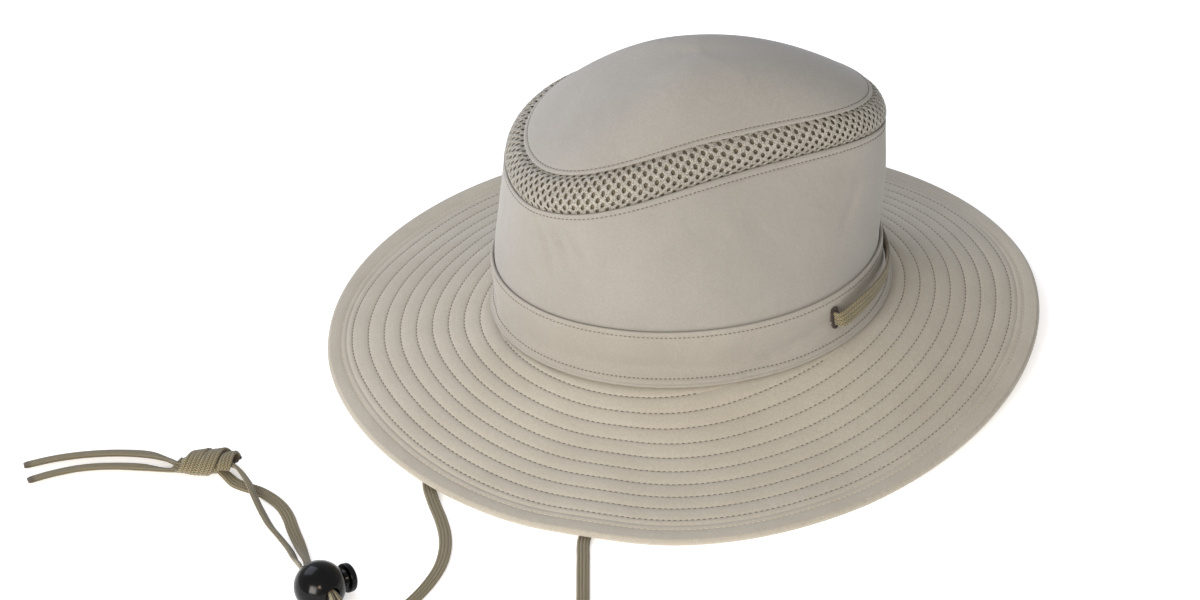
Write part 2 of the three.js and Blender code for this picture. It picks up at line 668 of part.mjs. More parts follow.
const endBRoute = [
  { at: [-63.2, 260, 3.4], wide: [0.85, 0, -0.53] },
  { at: [-60, 268, 2.3], wide: [0.85, 0, -0.53] },
  { at: [-55.6, 278, 2.15], wide: [0.85, 0, -0.53] },
  { at: [-51.6, 292.2, 2.15], wide: [0.85, 0, -0.53] },
  { at: [-49.7, 307, 2.15], wide: [0.85, 0, -0.53] },
  { at: [-50.9, 321.6, 2.15], wide: [0.85, 0, -0.53] },
  { at: [-53.6, 333.3, 2.15], wide: [0.85, 0, -0.53] },
];

// The overhand knot, both strands drawn tight: sections along it from the toggle's side.
const knotStart = new THREE.Vector3(-65, 234.8, knotGirth / 2);
const knotEnd = new THREE.Vector3(-62, 258.8, knotGirth / 2);
const knotSections = [
  { along: 0, across: 0.34, high: 0.5 },
  { along: 0.08, across: 0.6, high: 0.86 },
  { along: 0.3, across: 0.74, high: 1 },
  { along: 0.55, across: 0.74, high: 0.95 },
  { along: 0.8, across: 0.68, high: 0.9 },
  { along: 0.94, across: 0.58, high: 0.76 },
  { along: 1, across: 0.4, high: 0.45 },
];

function knotBody() {
  const sides = 12;
  const way = knotEnd.clone().sub(knotStart).normalize();
  const level = new THREE.Vector3(way.y, -way.x, 0);
  const positions = [];
  for (const section of knotSections) {
    const middle = knotStart.clone().lerp(knotEnd, section.along);
    for (let i = 0; i < sides; i += 1) {
      const a = (i / sides) * fullTurn;
      const point = middle.clone().addScaledVector(level, Math.cos(a) * section.across * knotGirth);
      positions.push(point.x, point.y, point.z + Math.sin(a) * section.high * knotGirth * 0.49);
    }
  }
  const indices = [];
  const rows = knotSections.length;
  for (let r = 0; r < rows - 1; r += 1) {
    for (let i = 0; i < sides; i += 1) {
      const j = (i + 1) % sides;
      indices.push(r * sides + i, r * sides + j, (r + 1) * sides + j);
      indices.push(r * sides + i, (r + 1) * sides + j, (r + 1) * sides + i);
    }
  }
  for (let i = 1; i < sides - 1; i += 1) {
    indices.push(0, i + 1, i);
    indices.push((rows - 1) * sides, (rows - 1) * sides + i, (rows - 1) * sides + i + 1);
  }
  const geometry = new THREE.BufferGeometry();
  geometry.setAttribute("position", new THREE.Float32BufferAttribute(positions, 3));
  geometry.setIndex(indices);
  return outwards(geometry);
}

const cloth = { color: 0xbdb5a4, roughness: 0.85 };
const quilt = { color: 0xb7ad99, roughness: 0.85 };
const netting = { color: 0x8f8674, roughness: 0.8 };
const braid = { color: 0x93866b, roughness: 0.9 };
const thread = { color: 0x4a4133, roughness: 0.9 };
const plastic = { color: 0x141414, roughness: 0.25 };

const hat = new THREE.Group();

function addPiece(name, geometry, finish) {
  const { color, roughness } = finish;
  const mesh = new THREE.Mesh(geometry, new THREE.MeshStandardMaterial({ color, roughness, metalness: 0 }));
  mesh.name = name;
  hat.add(mesh);
}

const slitCutters = ["right", "left"].map((side) => slitCutter(side));
addPiece("brim", brimBody(), quilt);
addPiece("side_crown", cutFrom(sideCrownBody(), slitCutters), cloth);
addPiece("hat_band", cutFrom(hatBandBody(), slitCutters), cloth);
addPiece("mesh_band", meshBandBody(), netting);
addPiece("top_panel", topPanelBody(), cloth);
for (const side of ["right", "left"]) addPiece(`buttonhole_${side}`, slitEdge(side), thread);
addPiece("cord_front", cordBody(frontRoute()), braid);
addPiece("cord_right", cordBody(rightRoute), braid);
addPiece("cord_left", cordBody(leftRoute), braid);
addPiece("knot", knotBody(), braid);
addPiece("cord_end_a", cordBody(endARoute), braid);
addPiece("cord_end_b", cordBody(endBRoute), braid);
addPiece("toggle_ball", toggleBallBody(), plastic);
addPiece("toggle_button", toggleButtonBody(), plastic);

export default hat;
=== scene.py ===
# A safari hat: quilted brim, net ventilation band, flat braided chin cord with a ball cord lock.
# Sizes are in millimetres until a mesh is made, and camera and lights are placed in metres. Angles
# run from the wearer's left round by the back.
import math

import bpy
import numpy as np
from mathutils import Matrix, Vector


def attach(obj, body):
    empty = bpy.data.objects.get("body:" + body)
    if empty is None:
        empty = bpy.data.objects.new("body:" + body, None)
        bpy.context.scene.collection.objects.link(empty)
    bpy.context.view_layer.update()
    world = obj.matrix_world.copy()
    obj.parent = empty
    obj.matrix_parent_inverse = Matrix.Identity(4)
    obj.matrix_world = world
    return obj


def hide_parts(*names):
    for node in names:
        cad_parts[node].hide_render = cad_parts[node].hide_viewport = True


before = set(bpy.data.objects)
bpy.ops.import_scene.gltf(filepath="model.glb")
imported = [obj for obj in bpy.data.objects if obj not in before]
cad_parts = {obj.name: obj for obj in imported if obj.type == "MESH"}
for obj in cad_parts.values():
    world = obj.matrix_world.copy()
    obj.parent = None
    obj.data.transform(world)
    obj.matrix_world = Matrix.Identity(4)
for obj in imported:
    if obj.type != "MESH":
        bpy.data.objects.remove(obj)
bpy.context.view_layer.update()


# The hat lies on a white light table, in the even light of a pale room. A large warm window
# stands behind the wearer's right with a small one beside it, and a cool one at the far side.
def colour(hex_code):
    parts = [int(hex_code[i:i + 2], 16) / 255 for i in (1, 3, 5)]
    linear = [p / 12.92 if p <= 0.04045 else ((p + 0.055) / 1.055) ** 2.4 for p in parts]
    return (*linear, 1.0)


def add_node(tree, kind, inputs=None, **settings):
    node = tree.nodes.new(kind)
    for name, value in settings.items():
        setattr(node, name, value)
    for key, value in (inputs or {}).items():
        if isinstance(value, bpy.types.NodeSocket):
            tree.links.new(value, node.inputs[key])
        else:
            node.inputs[key].default_value = value
    return node


def new_material(name, base, roughness, **shader):
    material = bpy.data.materials.new(name)
    material.use_nodes = True
    tree = material.node_tree
    principled = tree.nodes["Principled BSDF"]
    principled.inputs["Base Color"].default_value = colour(base)
    principled.inputs["Roughness"].default_value = roughness
    for socket, value in shader.items():
        principled.inputs[socket.replace("_", " ")].default_value = value
    return material, tree, principled


def add_object(name, data):
    piece = bpy.data.objects.new(name, data)
    bpy.context.scene.collection.objects.link(piece)
    return piece


table_reach = 6
floor_mesh = bpy.data.meshes.new("table_top")
floor_mesh.from_pydata(
    [(x * table_reach, y * table_reach, 0) for x, y in ((-1, -1), (1, -1), (1, 1), (-1, 1))],
    [], [(0, 1, 2, 3)],
)
table_top = add_object("table_top", floor_mesh)
# Opal acrylic lit from below: pure white, so that the hat's own shadow is only a faint one.
table_white, _, _ = new_material(
    "lit_opal_acrylic", "#fcfcfc", 0.9, Emission_Color=colour("#ffffff"), Emission_Strength=0.38,
)
floor_mesh.materials.append(table_white)

# The camera's place and turn come from a fit to the hat's outlines and its rows of stitches.
view_at = Vector((0.00251, 0.04203, 0.02188))
view_from = Vector((-1.13845, 0.18463, 0.87154))
view_azimuth = math.radians(262.876)
view_elevation = math.radians(36.462)
view_roll = math.radians(-3.493)
right = Vector((math.cos(view_azimuth), math.sin(view_azimuth), 0))
back = Vector((
    math.cos(view_elevation) * math.sin(view_azimuth),
    -math.cos(view_elevation) * math.cos(view_azimuth),
    math.sin(view_elevation),
))
up = back.cross(right)
camera_x = right * math.cos(view_roll) + up * math.sin(view_roll)
camera_y = up * math.cos(view_roll) - right * math.sin(view_roll)
camera_data = bpy.data.cameras.new("product_camera")
camera_data.lens = 84.72
camera_data.sensor_width = 36
camera_data.clip_end = 20
camera = add_object("product_camera", camera_data)
camera.matrix_world = Matrix((
    (camera_x.x, camera_y.x, back.x, view_from.x),
    (camera_x.y, camera_y.y, back.y, view_from.y),
    (camera_x.z, camera_y.z, back.z, view_from.z),
    (0, 0, 0, 1),
))
bpy.context.scene.camera = camera
bpy.context.scene.view_settings.view_transform = "Standard"

world = bpy.data.worlds.new("studio")
bpy.context.scene.world = world
world.use_nodes = True
world.node_tree.nodes["Background"].inputs["Color"].default_value = colour("#f4f5f7")
world.node_tree.nodes["Background"].inputs["Strength"].default_value = 0.62
soft_boxes = [
    # name, place, size, watts, tint
    ("low_window", (-1.35, 1.05, 0.62), 0.8, 28, "#fff9f2"),
    ("small_window", (-1.25, 0.24, 0.82), 0.22, 3.2, "#ffdfc0"),
    ("far_window", (0.9, 0.9, 1.3), 1.2, 13, "#e2e8ff"),
]
for name, place, size, watts, tint in soft_boxes:
    light_data = bpy.data.lights.new(name, "AREA")
    light_data.size = size
    light_data.energy = watts
    light_data.color = colour(tint)[:3]
    light = add_object(name, light_data)
    light.location = place
    light.rotation_euler = (view_at - Vector(place)).to_track_quat("-Z", "Y").to_euler()


# The chin cord is a flat braid of polyester, four plaited ribs wide, dyed khaki; its darker tones are
# painted shade between the plaits and ribs. It is limp: its strands fall from the slits inside the crown,
# lie on the table and meet in the lock.
cord_width = 6.2
cord_thickness = 2.0
cord_ribs = 4
right_route = np.array([
    (-60.8, -60.3, 42.6, 0, 0, 1),
    (-58.2, -58.8, 41.6, 0.4, -0.6, 0.7),
    (-56.4, -57.8, 38.6, 0.53, -0.85, 0.2),
    (-56, -57.2, 32, 0.53, -0.85, 0),
    (-56.6, -56, 22, 0.56, -0.83, 0),
    (-58.6, -52.6, 12, 0.7, -0.7, 0),
    (-63, -46, 4.6, 0.84, -0.5, 0),
    (-69, -37, 1.7, 0.84, -0.5, 0),
    (-77, -25, 1.1, 0.84, 0.5, 0),
    (-89, -7, 1.1, 0.82, 0.57, 0),
    (-104, 14, 1.1, 0.8, 0.6, 0),
    (-121, 38, 1.1, 0.8, 0.6, 0),
    (-135, 60, 1.1, 0.7, 0.7, 0),
    (-144, 71, 1.1, 0.5, 0.85, 0),
    (-153.1, 75.8, 1.1, 0.3, 0.95, 0),
    (-166.8, 78.4, 1.1, 0.1, 1, 0),
    (-180.3, 80.6, 1.1, 0.1, 1, 0),
    (-193.6, 82.7, 1.1, 0.1, 1, 0),
    (-206.7, 84.9, 1.1, 0.2, 1, 0),
    (-223, 90.6, 1.1, 0.7, 0.8, 0),
    (-234.6, 103, 1.1, 1, 0.6, 0),
    (-239, 121, 1.1, 1, 0.1, 0),
    (-239.4, 143, 1.1, 1, 0, 0),
    (-235.6, 163, 1.1, 1, 0.3, 0),
    (-225, 179.4, 1.4, 0.8, 0.6, 0.1),
    (-209, 188, 4.2, 0.4, 0.8, 0.5),
    (-195, 191.8, 9.4, 0.1, 0.5, 1),
    (-182.1, 194.9, 13.5, 0, 0, 1),
    (-171.5, 200.5, 12.3, 0, 0, 1),
    (-161, 206.1, 11.1, 0, 0, 1),
    (-152.6, 207.2, 8.8, -0.1, 0.2, 1),
    (-143.9, 209.4, 5.6, -0.2, 0.4, 0.9),
    (-132.7, 211.8, 3.4, -0.24, 0.53, 0.81),
    (-123.4, 215.4, 3.1, -0.24, 0.53, 0.81),
    (-113.8, 219.5, 3.1, -0.24, 0.53, 0.81),
    (-102.9, 222.6, 3.2, -0.24, 0.53, 0.81),
    (-94.3, 224.8, 4, -0.2, 0.5, 0.84),
    (-86.6, 226.5, 5.3, -0.2, 0.5, 0.84),
    (-79.3, 228.5, 5.4, -0.2, 0.5, 0.84),
    (-67.7, 233.3, 4.6, -0.3, 0.4, 0.86),
    (-62.5, 240, 5.3, -0.3, 0.4, 0.86),
])
left_route = np.array([
    (60.8, -60.3, 42.6, 0, 0, 1),
    (58.2, -58.8, 41.6, -0.4, -0.6, 0.7),
    (56.4, -57.8, 38.6, -0.53, -0.85, 0.2),
    (56, -57.2, 32, -0.53, -0.85, 0),
    (56.8, -56, 22, -0.56, -0.83, 0),
    (59, -52, 12, -0.8, -0.6, 0),
    (61, -44, 4.6, -1, -0.2, 0),
    (59, -32.5, 1.6, -1, -0.1, 0),
    (51, -18, 1.1, -0.84, -0.5, 0),
    (34, 5, 1.1, -0.83, -0.55, 0),
    (10, 34, 1.1, -0.8, -0.6, 0),
    (-18, 62, 1.1, -0.77, -0.63, 0),
    (-41, 89, 1.1, -0.75, -0.66, 0),
    (-62, 114, 1.1, -0.75, -0.66, 0),
    (-76, 131, 1.1, -0.6, -0.8, 0),
    (-86, 139.6, 1.1, -0.4, -0.9, 0),
    (-97.9, 142.4, 1.1, -0.1, -1, 0),
    (-111, 141.6, 1.1, 0.1, -1, 0),
    (-124.6, 139.7, 1.1, 0.1, -1, 0),
    (-135.6, 139.1, 1.1, 0, -1, 0),
    (-146.1, 140.3, 1.1, -0.2, -1, 0),
    (-157.2, 143.9, 1.1, -0.4, -0.9, 0),
    (-167.6, 150.2, 1.1, -0.6, -0.8, 0),
    (-176.6, 157.8, 1.1, -0.7, -0.7, 0),
    (-184.4, 166.4, 1.5, -0.9, -0.5, 0),
    (-190, 175.6, 3.6, -1, -0.1, 0.3),
    (-191.4, 184, 7.4, -0.8, 0.1, 0.8),
    (-188, 189.4, 11.2, -0.2, 0, 1),
    (-181, 192.9, 13, 0, 0, 1),
    (-170.5, 198.5, 11.8, 0, 0, 1),
    (-159.9, 204.1, 10.6, 0, 0, 1),
    (-148.4, 204.2, 7.6, 0.1, 0.6, 0.9),
    (-138.3, 205.5, 4.4, 0, 0.9, 0.6),
    (-128.4, 206.9, 2.2, -0.1, 1, 0.2),
    (-116.7, 209, 1.2, -0.2, 1, 0),
    (-106.6, 210.6, 1.1, -0.2, 1, 0),
    (-98.2, 213.4, 1.1, -0.4, 0.9, 0),
    (-91.1, 217.7, 1.1, -0.6, 0.8, 0),
    (-84.8, 223.2, 1.1, -0.7, 0.7, 0),
    (-80.4, 229.2, 1.1, -0.7, 0.7, 0),
    (-76, 234.2, 1.3, -0.7, 0.7, 0),
    (-70.7, 238, 2.6, -0.6, 0.8, 0.3),
    (-65, 243, 4.4, -0.5, 0.6, 0.5),
])
end_a_route = np.array([
    (-62, 253.5, 5.2, 0.85, 0, -0.53),
    (-59.4, 259.8, 4.1, 0.85, 0, -0.53),
    (-53.4, 265.4, 2.7, 0.85, 0, -0.53),
    (-46.9, 274, 2.15, 0.97, 0, -0.25),
    (-42.6, 287, 2.15, 0.97, 0, -0.25),
    (-39.9, 303, 2.15, 0.97, 0, -0.25),
    (-39.5, 319, 2.15, 0.97, 0, -0.25),
    (-41.6, 335.2, 2.15, 0.97, 0, -0.25),
])
end_b_route = np.array([
    (-64.6, 254, 4.6, 0.85, 0, -0.53),
    (-63.2, 260, 3.4, 0.85, 0, -0.53),
    (-60, 268, 2.3, 0.85, 0, -0.53),
    (-55.6, 278, 2.15, 0.97, 0, -0.25),
    (-51.6, 292.2, 2.15, 0.97, 0, -0.25),
    (-49.7, 307, 2.15, 0.97, 0, -0.25),
    (-50.9, 321.6, 2.15, 0.97, 0, -0.25),
    (-53.6, 333.3, 2.15, 0.97, 0, -0.25),
])


def walked(points, power=1):
    """The distance walked along a line of points to each of them, each step raised to a power."""
    steps = np.linalg.norm(np.diff(points, axis=0), axis=-1) ** power
    return np.concatenate([np.zeros((1, *steps.shape[1:])), np.cumsum(steps, axis=0)])


def smooth_route(route, step, pieces_between=24):
    """Centripetal spline through a route's rows of point and width direction, at even steps."""
    padded = np.vstack([2 * route[0] - route[1], route, 2 * route[-1] - route[-2]])
    knots = walked(padded[:, :3], 0.5)
    rows = []
    for i in range(1, len(route)):
        t0, t1, t2, t3 = knots[i - 1:i + 3]
        p0, p1, p2, p3 = padded[i - 1:i + 3]
        for t in np.linspace(t1, t2, pieces_between, endpoint=False):
            a1 = (t1 - t) / (t1 - t0) * p0 + (t - t0) / (t1 - t0) * p1
            a2 = (t2 - t) / (t2 - t1) * p1 + (t - t1) / (t2 - t1) * p2
            a3 = (t3 - t) / (t3 - t2) * p2 + (t - t2) / (t3 - t2) * p3
            b1 = (t2 - t) / (t2 - t0) * a1 + (t - t0) / (t2 - t0) * a2
            b2 = (t3 - t) / (t3 - t1) * a2 + (t - t1) / (t3 - t1) * a3
            rows.append((t2 - t) / (t2 - t1) * b1 + (t - t1) / (t2 - t1) * b2)
    rows.append(route[-1])
    rows = np.array(rows)
    along = walked(rows[:, :3])
    even = np.linspace(0, along[-1], max(4, round(along[-1] / step)) + 1)
    return np.column_stack([np.interp(even, along, rows[:, k]) for k in range(6)])


def grid_mesh(name, rows, around_closed, ends="open", uv=None):
    """A mesh from rows of points in millimetres. uv gives each row's coordinates, with one column more
    where the rows close on themselves."""
    rows = np.asarray(rows, dtype=float)
    count, across = rows.shape[:2]
    vertices = rows.reshape(-1, 3) / 1000
    columns_joined = across if around_closed else across - 1
    rows_joined = count if ends == "ring" else count - 1
    r, c = np.meshgrid(np.arange(rows_joined), np.arange(columns_joined), indexing="ij")
    r2, c2 = (r + 1) % count, (c + 1) % across
    quads = [r * across + c, r * across + c2, r2 * across + c2, r2 * across + c]
    faces = np.stack(quads, axis=-1).reshape(-1, 4)
    caps = []
    if ends == "capped":
        caps = [list(range(across))[::-1], list(range((count - 1) * across, count * across))]
    mesh = bpy.data.meshes.new(name)
    mesh.from_pydata(vertices.tolist(), [], faces.tolist() + caps)
    if uv is not None:
        uv = np.asarray(uv, dtype=float)
        u2 = (r + 1) % count if ends == "ring" else r + 1
        corners = np.stack([uv[r, c], uv[r, c + 1], uv[u2, c + 1], uv[u2, c]], axis=2).reshape(-1, 2)
        corners = np.vstack([corners, np.zeros((sum(len(cap) for cap in caps), 2))])
        mesh.uv_layers.new(name="UVMap").data.foreach_set("uv", corners.ravel())
    mesh.update()
    mesh.shade_smooth()
    return mesh


def point_outwards(piece):
    """Turns a closed mesh's faces outwards if its signed volume is negative."""
    mesh = piece.data
    mesh.calc_loop_triangles()
    places = np.empty(len(mesh.vertices) * 3)
    mesh.vertices.foreach_get("co", places)
    places = places.reshape(-1, 3)
    corners = np.empty(len(mesh.loop_triangles) * 3, dtype=np.int32)
    mesh.loop_triangles.foreach_get("vertices", corners)
    a, b, c = (places[corners.reshape(-1, 3)[:, k]] for k in range(3))
    if np.einsum("ij,ij->i", a, np.cross(b, c)).sum() < 0:
        mesh.flip_normals()


table_clearance = 0.1
face_points = 25
rib_depth = 0.3
tip_from, tip_over = 0.975, 0.025  # shares of a strand's length
past_melted = 60  # for an end inside the knot, which is not sealed


def braid_strand(name, route, step=1.1, tip=0.0, width=cord_width):
    """A flat braid along a route, its two faces scalloped into ribs. tip narrows its far end. Where
    a twist would push its edge into the table, it is lifted to lie on it."""
    path = smooth_route(route, step)
    points, wide = path[:, :3], path[:, 3:]
    along = np.gradient(points, axis=0)
    along /= np.linalg.norm(along, axis=1)[:, None]
    wide = wide - along * np.einsum("ij,ij->i", wide, along)[:, None]
    wide /= np.linalg.norm(wide, axis=1)[:, None]
    thick = np.cross(along, wide)
    over = np.linspace(-1, 1, face_points)
    across = np.concatenate([over, over[::-1][1:-1]])
    face = np.concatenate([np.ones(face_points), -np.ones(face_points - 2)])
    rib = np.abs(np.sin(np.pi * cord_ribs / 2 * (across + 1)))
    edge = np.sqrt(np.clip(1 - np.abs(across) ** 5, 0, 1))
    height = face * edge * (1 - rib_depth + rib_depth * rib ** 0.6) * cord_thickness / 2
    reach = across * width / 2
    length = np.linspace(0, 1, len(points))
    slim = 1 - tip * np.clip((length - tip_from) / tip_over, 0, 1) ** 2
    rows = (
        points[:, None, :]
        + wide[:, None, :] * (reach[None, :, None] * slim[:, None, None])
        + thick[:, None, :] * (height[None, :, None] * slim[:, None, None])
    )
    lift = np.clip(table_clearance - rows[:, :, 2].min(axis=1), 0, None)
    rows[:, :, 2] += lift[:, None]
    points[:, 2] += lift
    distance = walked(points)
    to_end = distance[-1] - distance + (0 if tip else past_melted)
    u = np.append(across, across[0])
    uv = np.stack(np.broadcast_arrays(u[None, :], to_end[:, None]), axis=-1)
    piece = add_object(name, grid_mesh(name, rows, True, "capped", uv))
    point_outwards(piece)
    return piece, points / 1000


# Plaited polyester: each rib is two bundles of filaments that cross every 1.15 mm. Its colour carries
# painted slanted highlights along the plaits, with painted shade between them and in the gaps between the
# ribs. Its cut tips are melted dark.
plait_pitch = 1.15
plait_slant = 2.4
braid_material, tree, shader = new_material("plaited_polyester", "#93866b", 0.72, Sheen_Weight=0.25)
uv_map = add_node(tree, "ShaderNodeUVMap")
split = add_node(tree, "ShaderNodeSeparateXYZ", {0: uv_map.outputs["UV"]})
rib_place = add_node(
    tree, "ShaderNodeMath", {0: split.outputs["X"], 1: cord_ribs / 2}, operation="MULTIPLY",
)
rib_middle = add_node(tree, "ShaderNodeMath", {0: rib_place.outputs[0]}, operation="FRACT")
rib_even = add_node(tree, "ShaderNodeMath", {0: rib_middle.outputs[0], 1: 0.5}, operation="SUBTRACT")
rib_side = add_node(tree, "ShaderNodeMath", {0: rib_even.outputs[0]}, operation="ABSOLUTE")
slant = add_node(
    tree, "ShaderNodeMath", {0: rib_side.outputs[0], 1: plait_slant}, operation="MULTIPLY",
)
plait_step = add_node(
    tree, "ShaderNodeMath", {0: split.outputs["Y"], 1: 1 / plait_pitch}, operation="MULTIPLY",
)
plait = add_node(tree, "ShaderNodeMath", {0: plait_step.outputs[0], 1: slant.outputs[0]}, operation="ADD")
plait_turn = add_node(
    tree, "ShaderNodeMath", {0: plait.outputs[0], 1: 2 * math.pi}, operation="MULTIPLY",
)
plait_wave = add_node(tree, "ShaderNodeMath", {0: plait_turn.outputs[0]}, operation="SINE")
# Painted shade in the gaps between the ribs.
gap = add_node(tree, "ShaderNodeMapRange", {0: rib_side.outputs[0], 1: 0.36, 2: 0.5, 3: 0.0, 4: 1.0})
# The lint is drawn at 0.7 mm, coarser than real filaments, so that it shows.
place = add_node(tree, "ShaderNodeTexCoord").outputs["Object"]
lint = add_node(tree, "ShaderNodeTexNoise", {"Vector": place, "Scale": 1400.0, "Detail": 3.0})
# Painted slanted highlights and shade along each plait.
plait_painted_light = add_node(
    tree, "ShaderNodeMapRange", {0: plait_wave.outputs[0], 1: -0.8, 2: 1.0, 3: 0.0, 4: 1.0},
)
plait_painted_light_and_shade = add_node(
    tree, "ShaderNodeMix",
    {0: plait_painted_light.outputs[0], 6: colour("#3a321f"), 7: colour("#9c916c")}, data_type="RGBA",
)
braid_with_painted_shade = add_node(
    tree, "ShaderNodeMix",
    {0: gap.outputs[0], 6: plait_painted_light_and_shade.outputs[2], 7: colour("#3a3224")}, data_type="RGBA",
)
speckled = add_node(
    tree, "ShaderNodeMix",
    {0: 0.35, 6: braid_with_painted_shade.outputs[2], 7: lint.outputs["Color"]},
    data_type="RGBA", blend_type="SOFT_LIGHT",
)
melted = add_node(tree, "ShaderNodeMapRange", {0: split.outputs["Y"], 1: 2.2, 2: 4.2, 3: 0.8, 4: 0.0})
sealed = add_node(
    tree, "ShaderNodeMix",
    {0: melted.outputs[0], 6: speckled.outputs[2], 7: colour("#3b3023")}, data_type="RGBA",
)
tree.links.new(sealed.outputs[2], shader.inputs["Base Color"])
relief = add_node(
    tree, "ShaderNodeMath", {0: plait_wave.outputs[0], 1: lint.outputs["Fac"]}, operation="ADD",
)
braid_bump = add_node(
    tree, "ShaderNodeBump", {"Strength": 0.5, "Distance": 0.0003, "Height": relief.outputs[0]},
)
tree.links.new(braid_bump.outputs[0], shader.inputs["Normal"])

strands = {}
for name, route, node in [
    ("chin_cord_right", right_route, "cord_right"),
    ("chin_cord_left", left_route, "cord_left"),
    ("cord_end_front", end_a_route, "cord_end_a"),
    ("cord_end_back", end_b_route, "cord_end_b"),
]:
    strand, path_points = braid_strand(name, route, tip=0.25 if "end" in name else 0.0)
    strand.data.materials.append(braid_material)
    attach(strand, "hat")
    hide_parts(node)
    strands[name] = (strand, path_points)

# The cord round the front is pulled flat and wide. Its top leans in towards the band at the slits,
# and it stands nearly upright in front.
front_width = 7.8
front_half = np.array([
    # x, y, z of the braid's middle, and how far its top leans outwards
    (-61.4, -60.6, 42.7, -0.30),
    (-63.8, -62.1, 43.0, -0.35),
    (-66.0, -63.5, 43.3, -0.40),
    (-67.9, -64.7, 43.6, -0.45),
    (-69.6, -66.2, 43.9, -0.45),
    (-66.2, -72.0, 45.0, -0.40),
    (-61.8, -78.1, 46.2, -0.30),
    (-53.2, -86.8, 47.0, -0.10),
    (-42.6, -94.2, 47.0, 0.05),
    (-30.8, -98.8, 46.0, 0.10),
    (-20.6, -101.2, 44.2, 0.10),
    (-10.3, -102.7, 42.6, 0.05),
])
front_middle = (0.0, -103.2, 41.6, 0.05)
front_points = np.vstack([front_half, [front_middle], (front_half * (-1, 1, 1, 1))[::-1]])
front_out = front_points[:, :2] / np.linalg.norm(front_points[:, :2], axis=1)[:, None]
front_lean = front_out * front_points[:, 3:]
front_route = np.column_stack([front_points[:, :3], front_lean, np.ones(len(front_points))])
front_cord, _ = braid_strand("front_cord", front_route, width=front_width)
front_cord.data.materials.append(braid_material)
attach(front_cord, "hat")
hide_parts("cord_front")


# The two strands are tied together in one overhand knot, drawn tight. Its three wraps lie side by
# side over the strands inside, so the flat of the braid faces outwards.
knot_start = np.array([-65.3, 232.6, 6.2])
knot_end = np.array([-61.8, 259.4, 6.2])
knot_across = 7.9
knot_high = 5.3
knot_taper = 0.36
knot_fullness = 2.6
core_under = 2.2
core_around = 40
tuck_depth = 1.9
tuck_turn = 0.9
knot_length = np.linalg.norm(knot_end - knot_start)
knot_way = (knot_end - knot_start) / knot_length
knot_level = np.array([knot_way[1], -knot_way[0], 0.0])


def knot_swell(t):
    from_middle = np.abs(2 * np.clip(t / knot_length, 0, 1) - 1)
    return 1 - knot_taper * from_middle ** knot_fullness


def knot_place(t, turn, under):
    """A point on the knot at t millimetres from its start, under its outer form."""
    swell = knot_swell(t)
    return (
        knot_start + knot_way * t[..., None]
        + knot_level * ((knot_across * swell - under) * np.cos(turn))[..., None]
        + np.array([0, 0, 1.0]) * ((knot_high * swell - under) * np.sin(turn))[..., None]
    )


knot_pieces = []
core_t = np.linspace(2.0, knot_length - 1.0, 28)
core_turn = np.linspace(0, 2 * np.pi, core_around, endpoint=False)
t_grid, turn_grid = np.meshgrid(core_t, core_turn, indexing="ij")
core_rows = knot_place(t_grid, turn_grid, core_under)
core_uv = np.stack(np.broadcast_arrays(
    np.linspace(-4, 4, core_around + 1)[None, :], (core_t + 10)[:, None],
), axis=-1)
knot_core = add_object("knot_core", grid_mesh("knot_core", core_rows, True, "capped", core_uv))
point_outwards(knot_core)
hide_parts("knot")
knot_pieces.append(knot_core)
knot_wraps = [
    # name, first turn, last turn, place of its top, pitch, width, depth under the knot's form
    ("knot_wrap_near", -75, 215, 3.4, 8.0, 6.4, 1.4),
    ("knot_wrap_middle", -95, 330, 10.6, 17.0, 7.6, 0.9),
    ("knot_wrap_far", -160, 300, 18.9, 17.0, 8.0, 1.0),
]
for name, first_turn, last_turn, top_t, wrap_pitch, wrap_width, under in knot_wraps:
    turn = np.radians(np.linspace(first_turn, last_turn, 44))
    t = top_t + wrap_pitch * (turn - np.pi / 2) / (2 * np.pi)
    ends = np.clip(np.minimum(turn - turn[0], turn[-1] - turn) / tuck_turn, 0, 1)
    tucked = under + tuck_depth * (1 - ends) ** 2
    middle = knot_place(t, turn, tucked)
    outward = knot_place(t, turn, tucked - 0.5) - middle
    onward = np.gradient(middle, axis=0)
    wide = np.cross(onward, outward)
    wide /= np.linalg.norm(wide, axis=1)[:, None]
    wrap, _ = braid_strand(name, np.column_stack([middle, wide]), step=0.9, width=wrap_width)
    knot_pieces.append(wrap)
for piece in knot_pieces:
    piece.data.materials.append(braid_material)
    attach(piece, "hat")


# The cord lock is a ball of moulded plastic, bored through for the two strands. A sprung button
# on a stem runs in a socket in its flattened side and pinches the strands.
ball_centre = np.array([-171, 199.5, 12.02])
ball_radius = 12.0
button_axis = np.array([0.46, -0.86, -0.22])
bore_axis = np.array([-0.877, -0.469, 0.1])
button_axis /= np.linalg.norm(button_axis)
bore_axis /= np.linalg.norm(bore_axis)
bore_width = 9.0
bore_height = 6.2
press_height = ball_radius * 0.86
stem_radius = 4.2
socket_radius = 4.5
socket_depth = 3.02
stem_foot = press_height - 4.4
cap_start = press_height + 2.9
cap_radius = 6.9
cap_side = 2.2
cap_dome = 1.9
pole_radius = 0.02


def lathe(name, profile, segments=72):
    """A turned body about the button's axis, from (radius, height) pairs that start and end on it."""
    side = np.cross(button_axis, (0, 0, 1.0))
    side /= np.linalg.norm(side)
    other = np.cross(button_axis, side)
    turn = np.linspace(0, 2 * np.pi, segments, endpoint=False)
    circle = np.cos(turn)[:, None] * side + np.sin(turn)[:, None] * other
    rows = [
        ball_centre + button_axis * height + circle * max(radius, pole_radius)
        for radius, height in profile
    ]
    piece = add_object(name, grid_mesh(name, rows, True, "capped"))
    point_outwards(piece)
    return piece


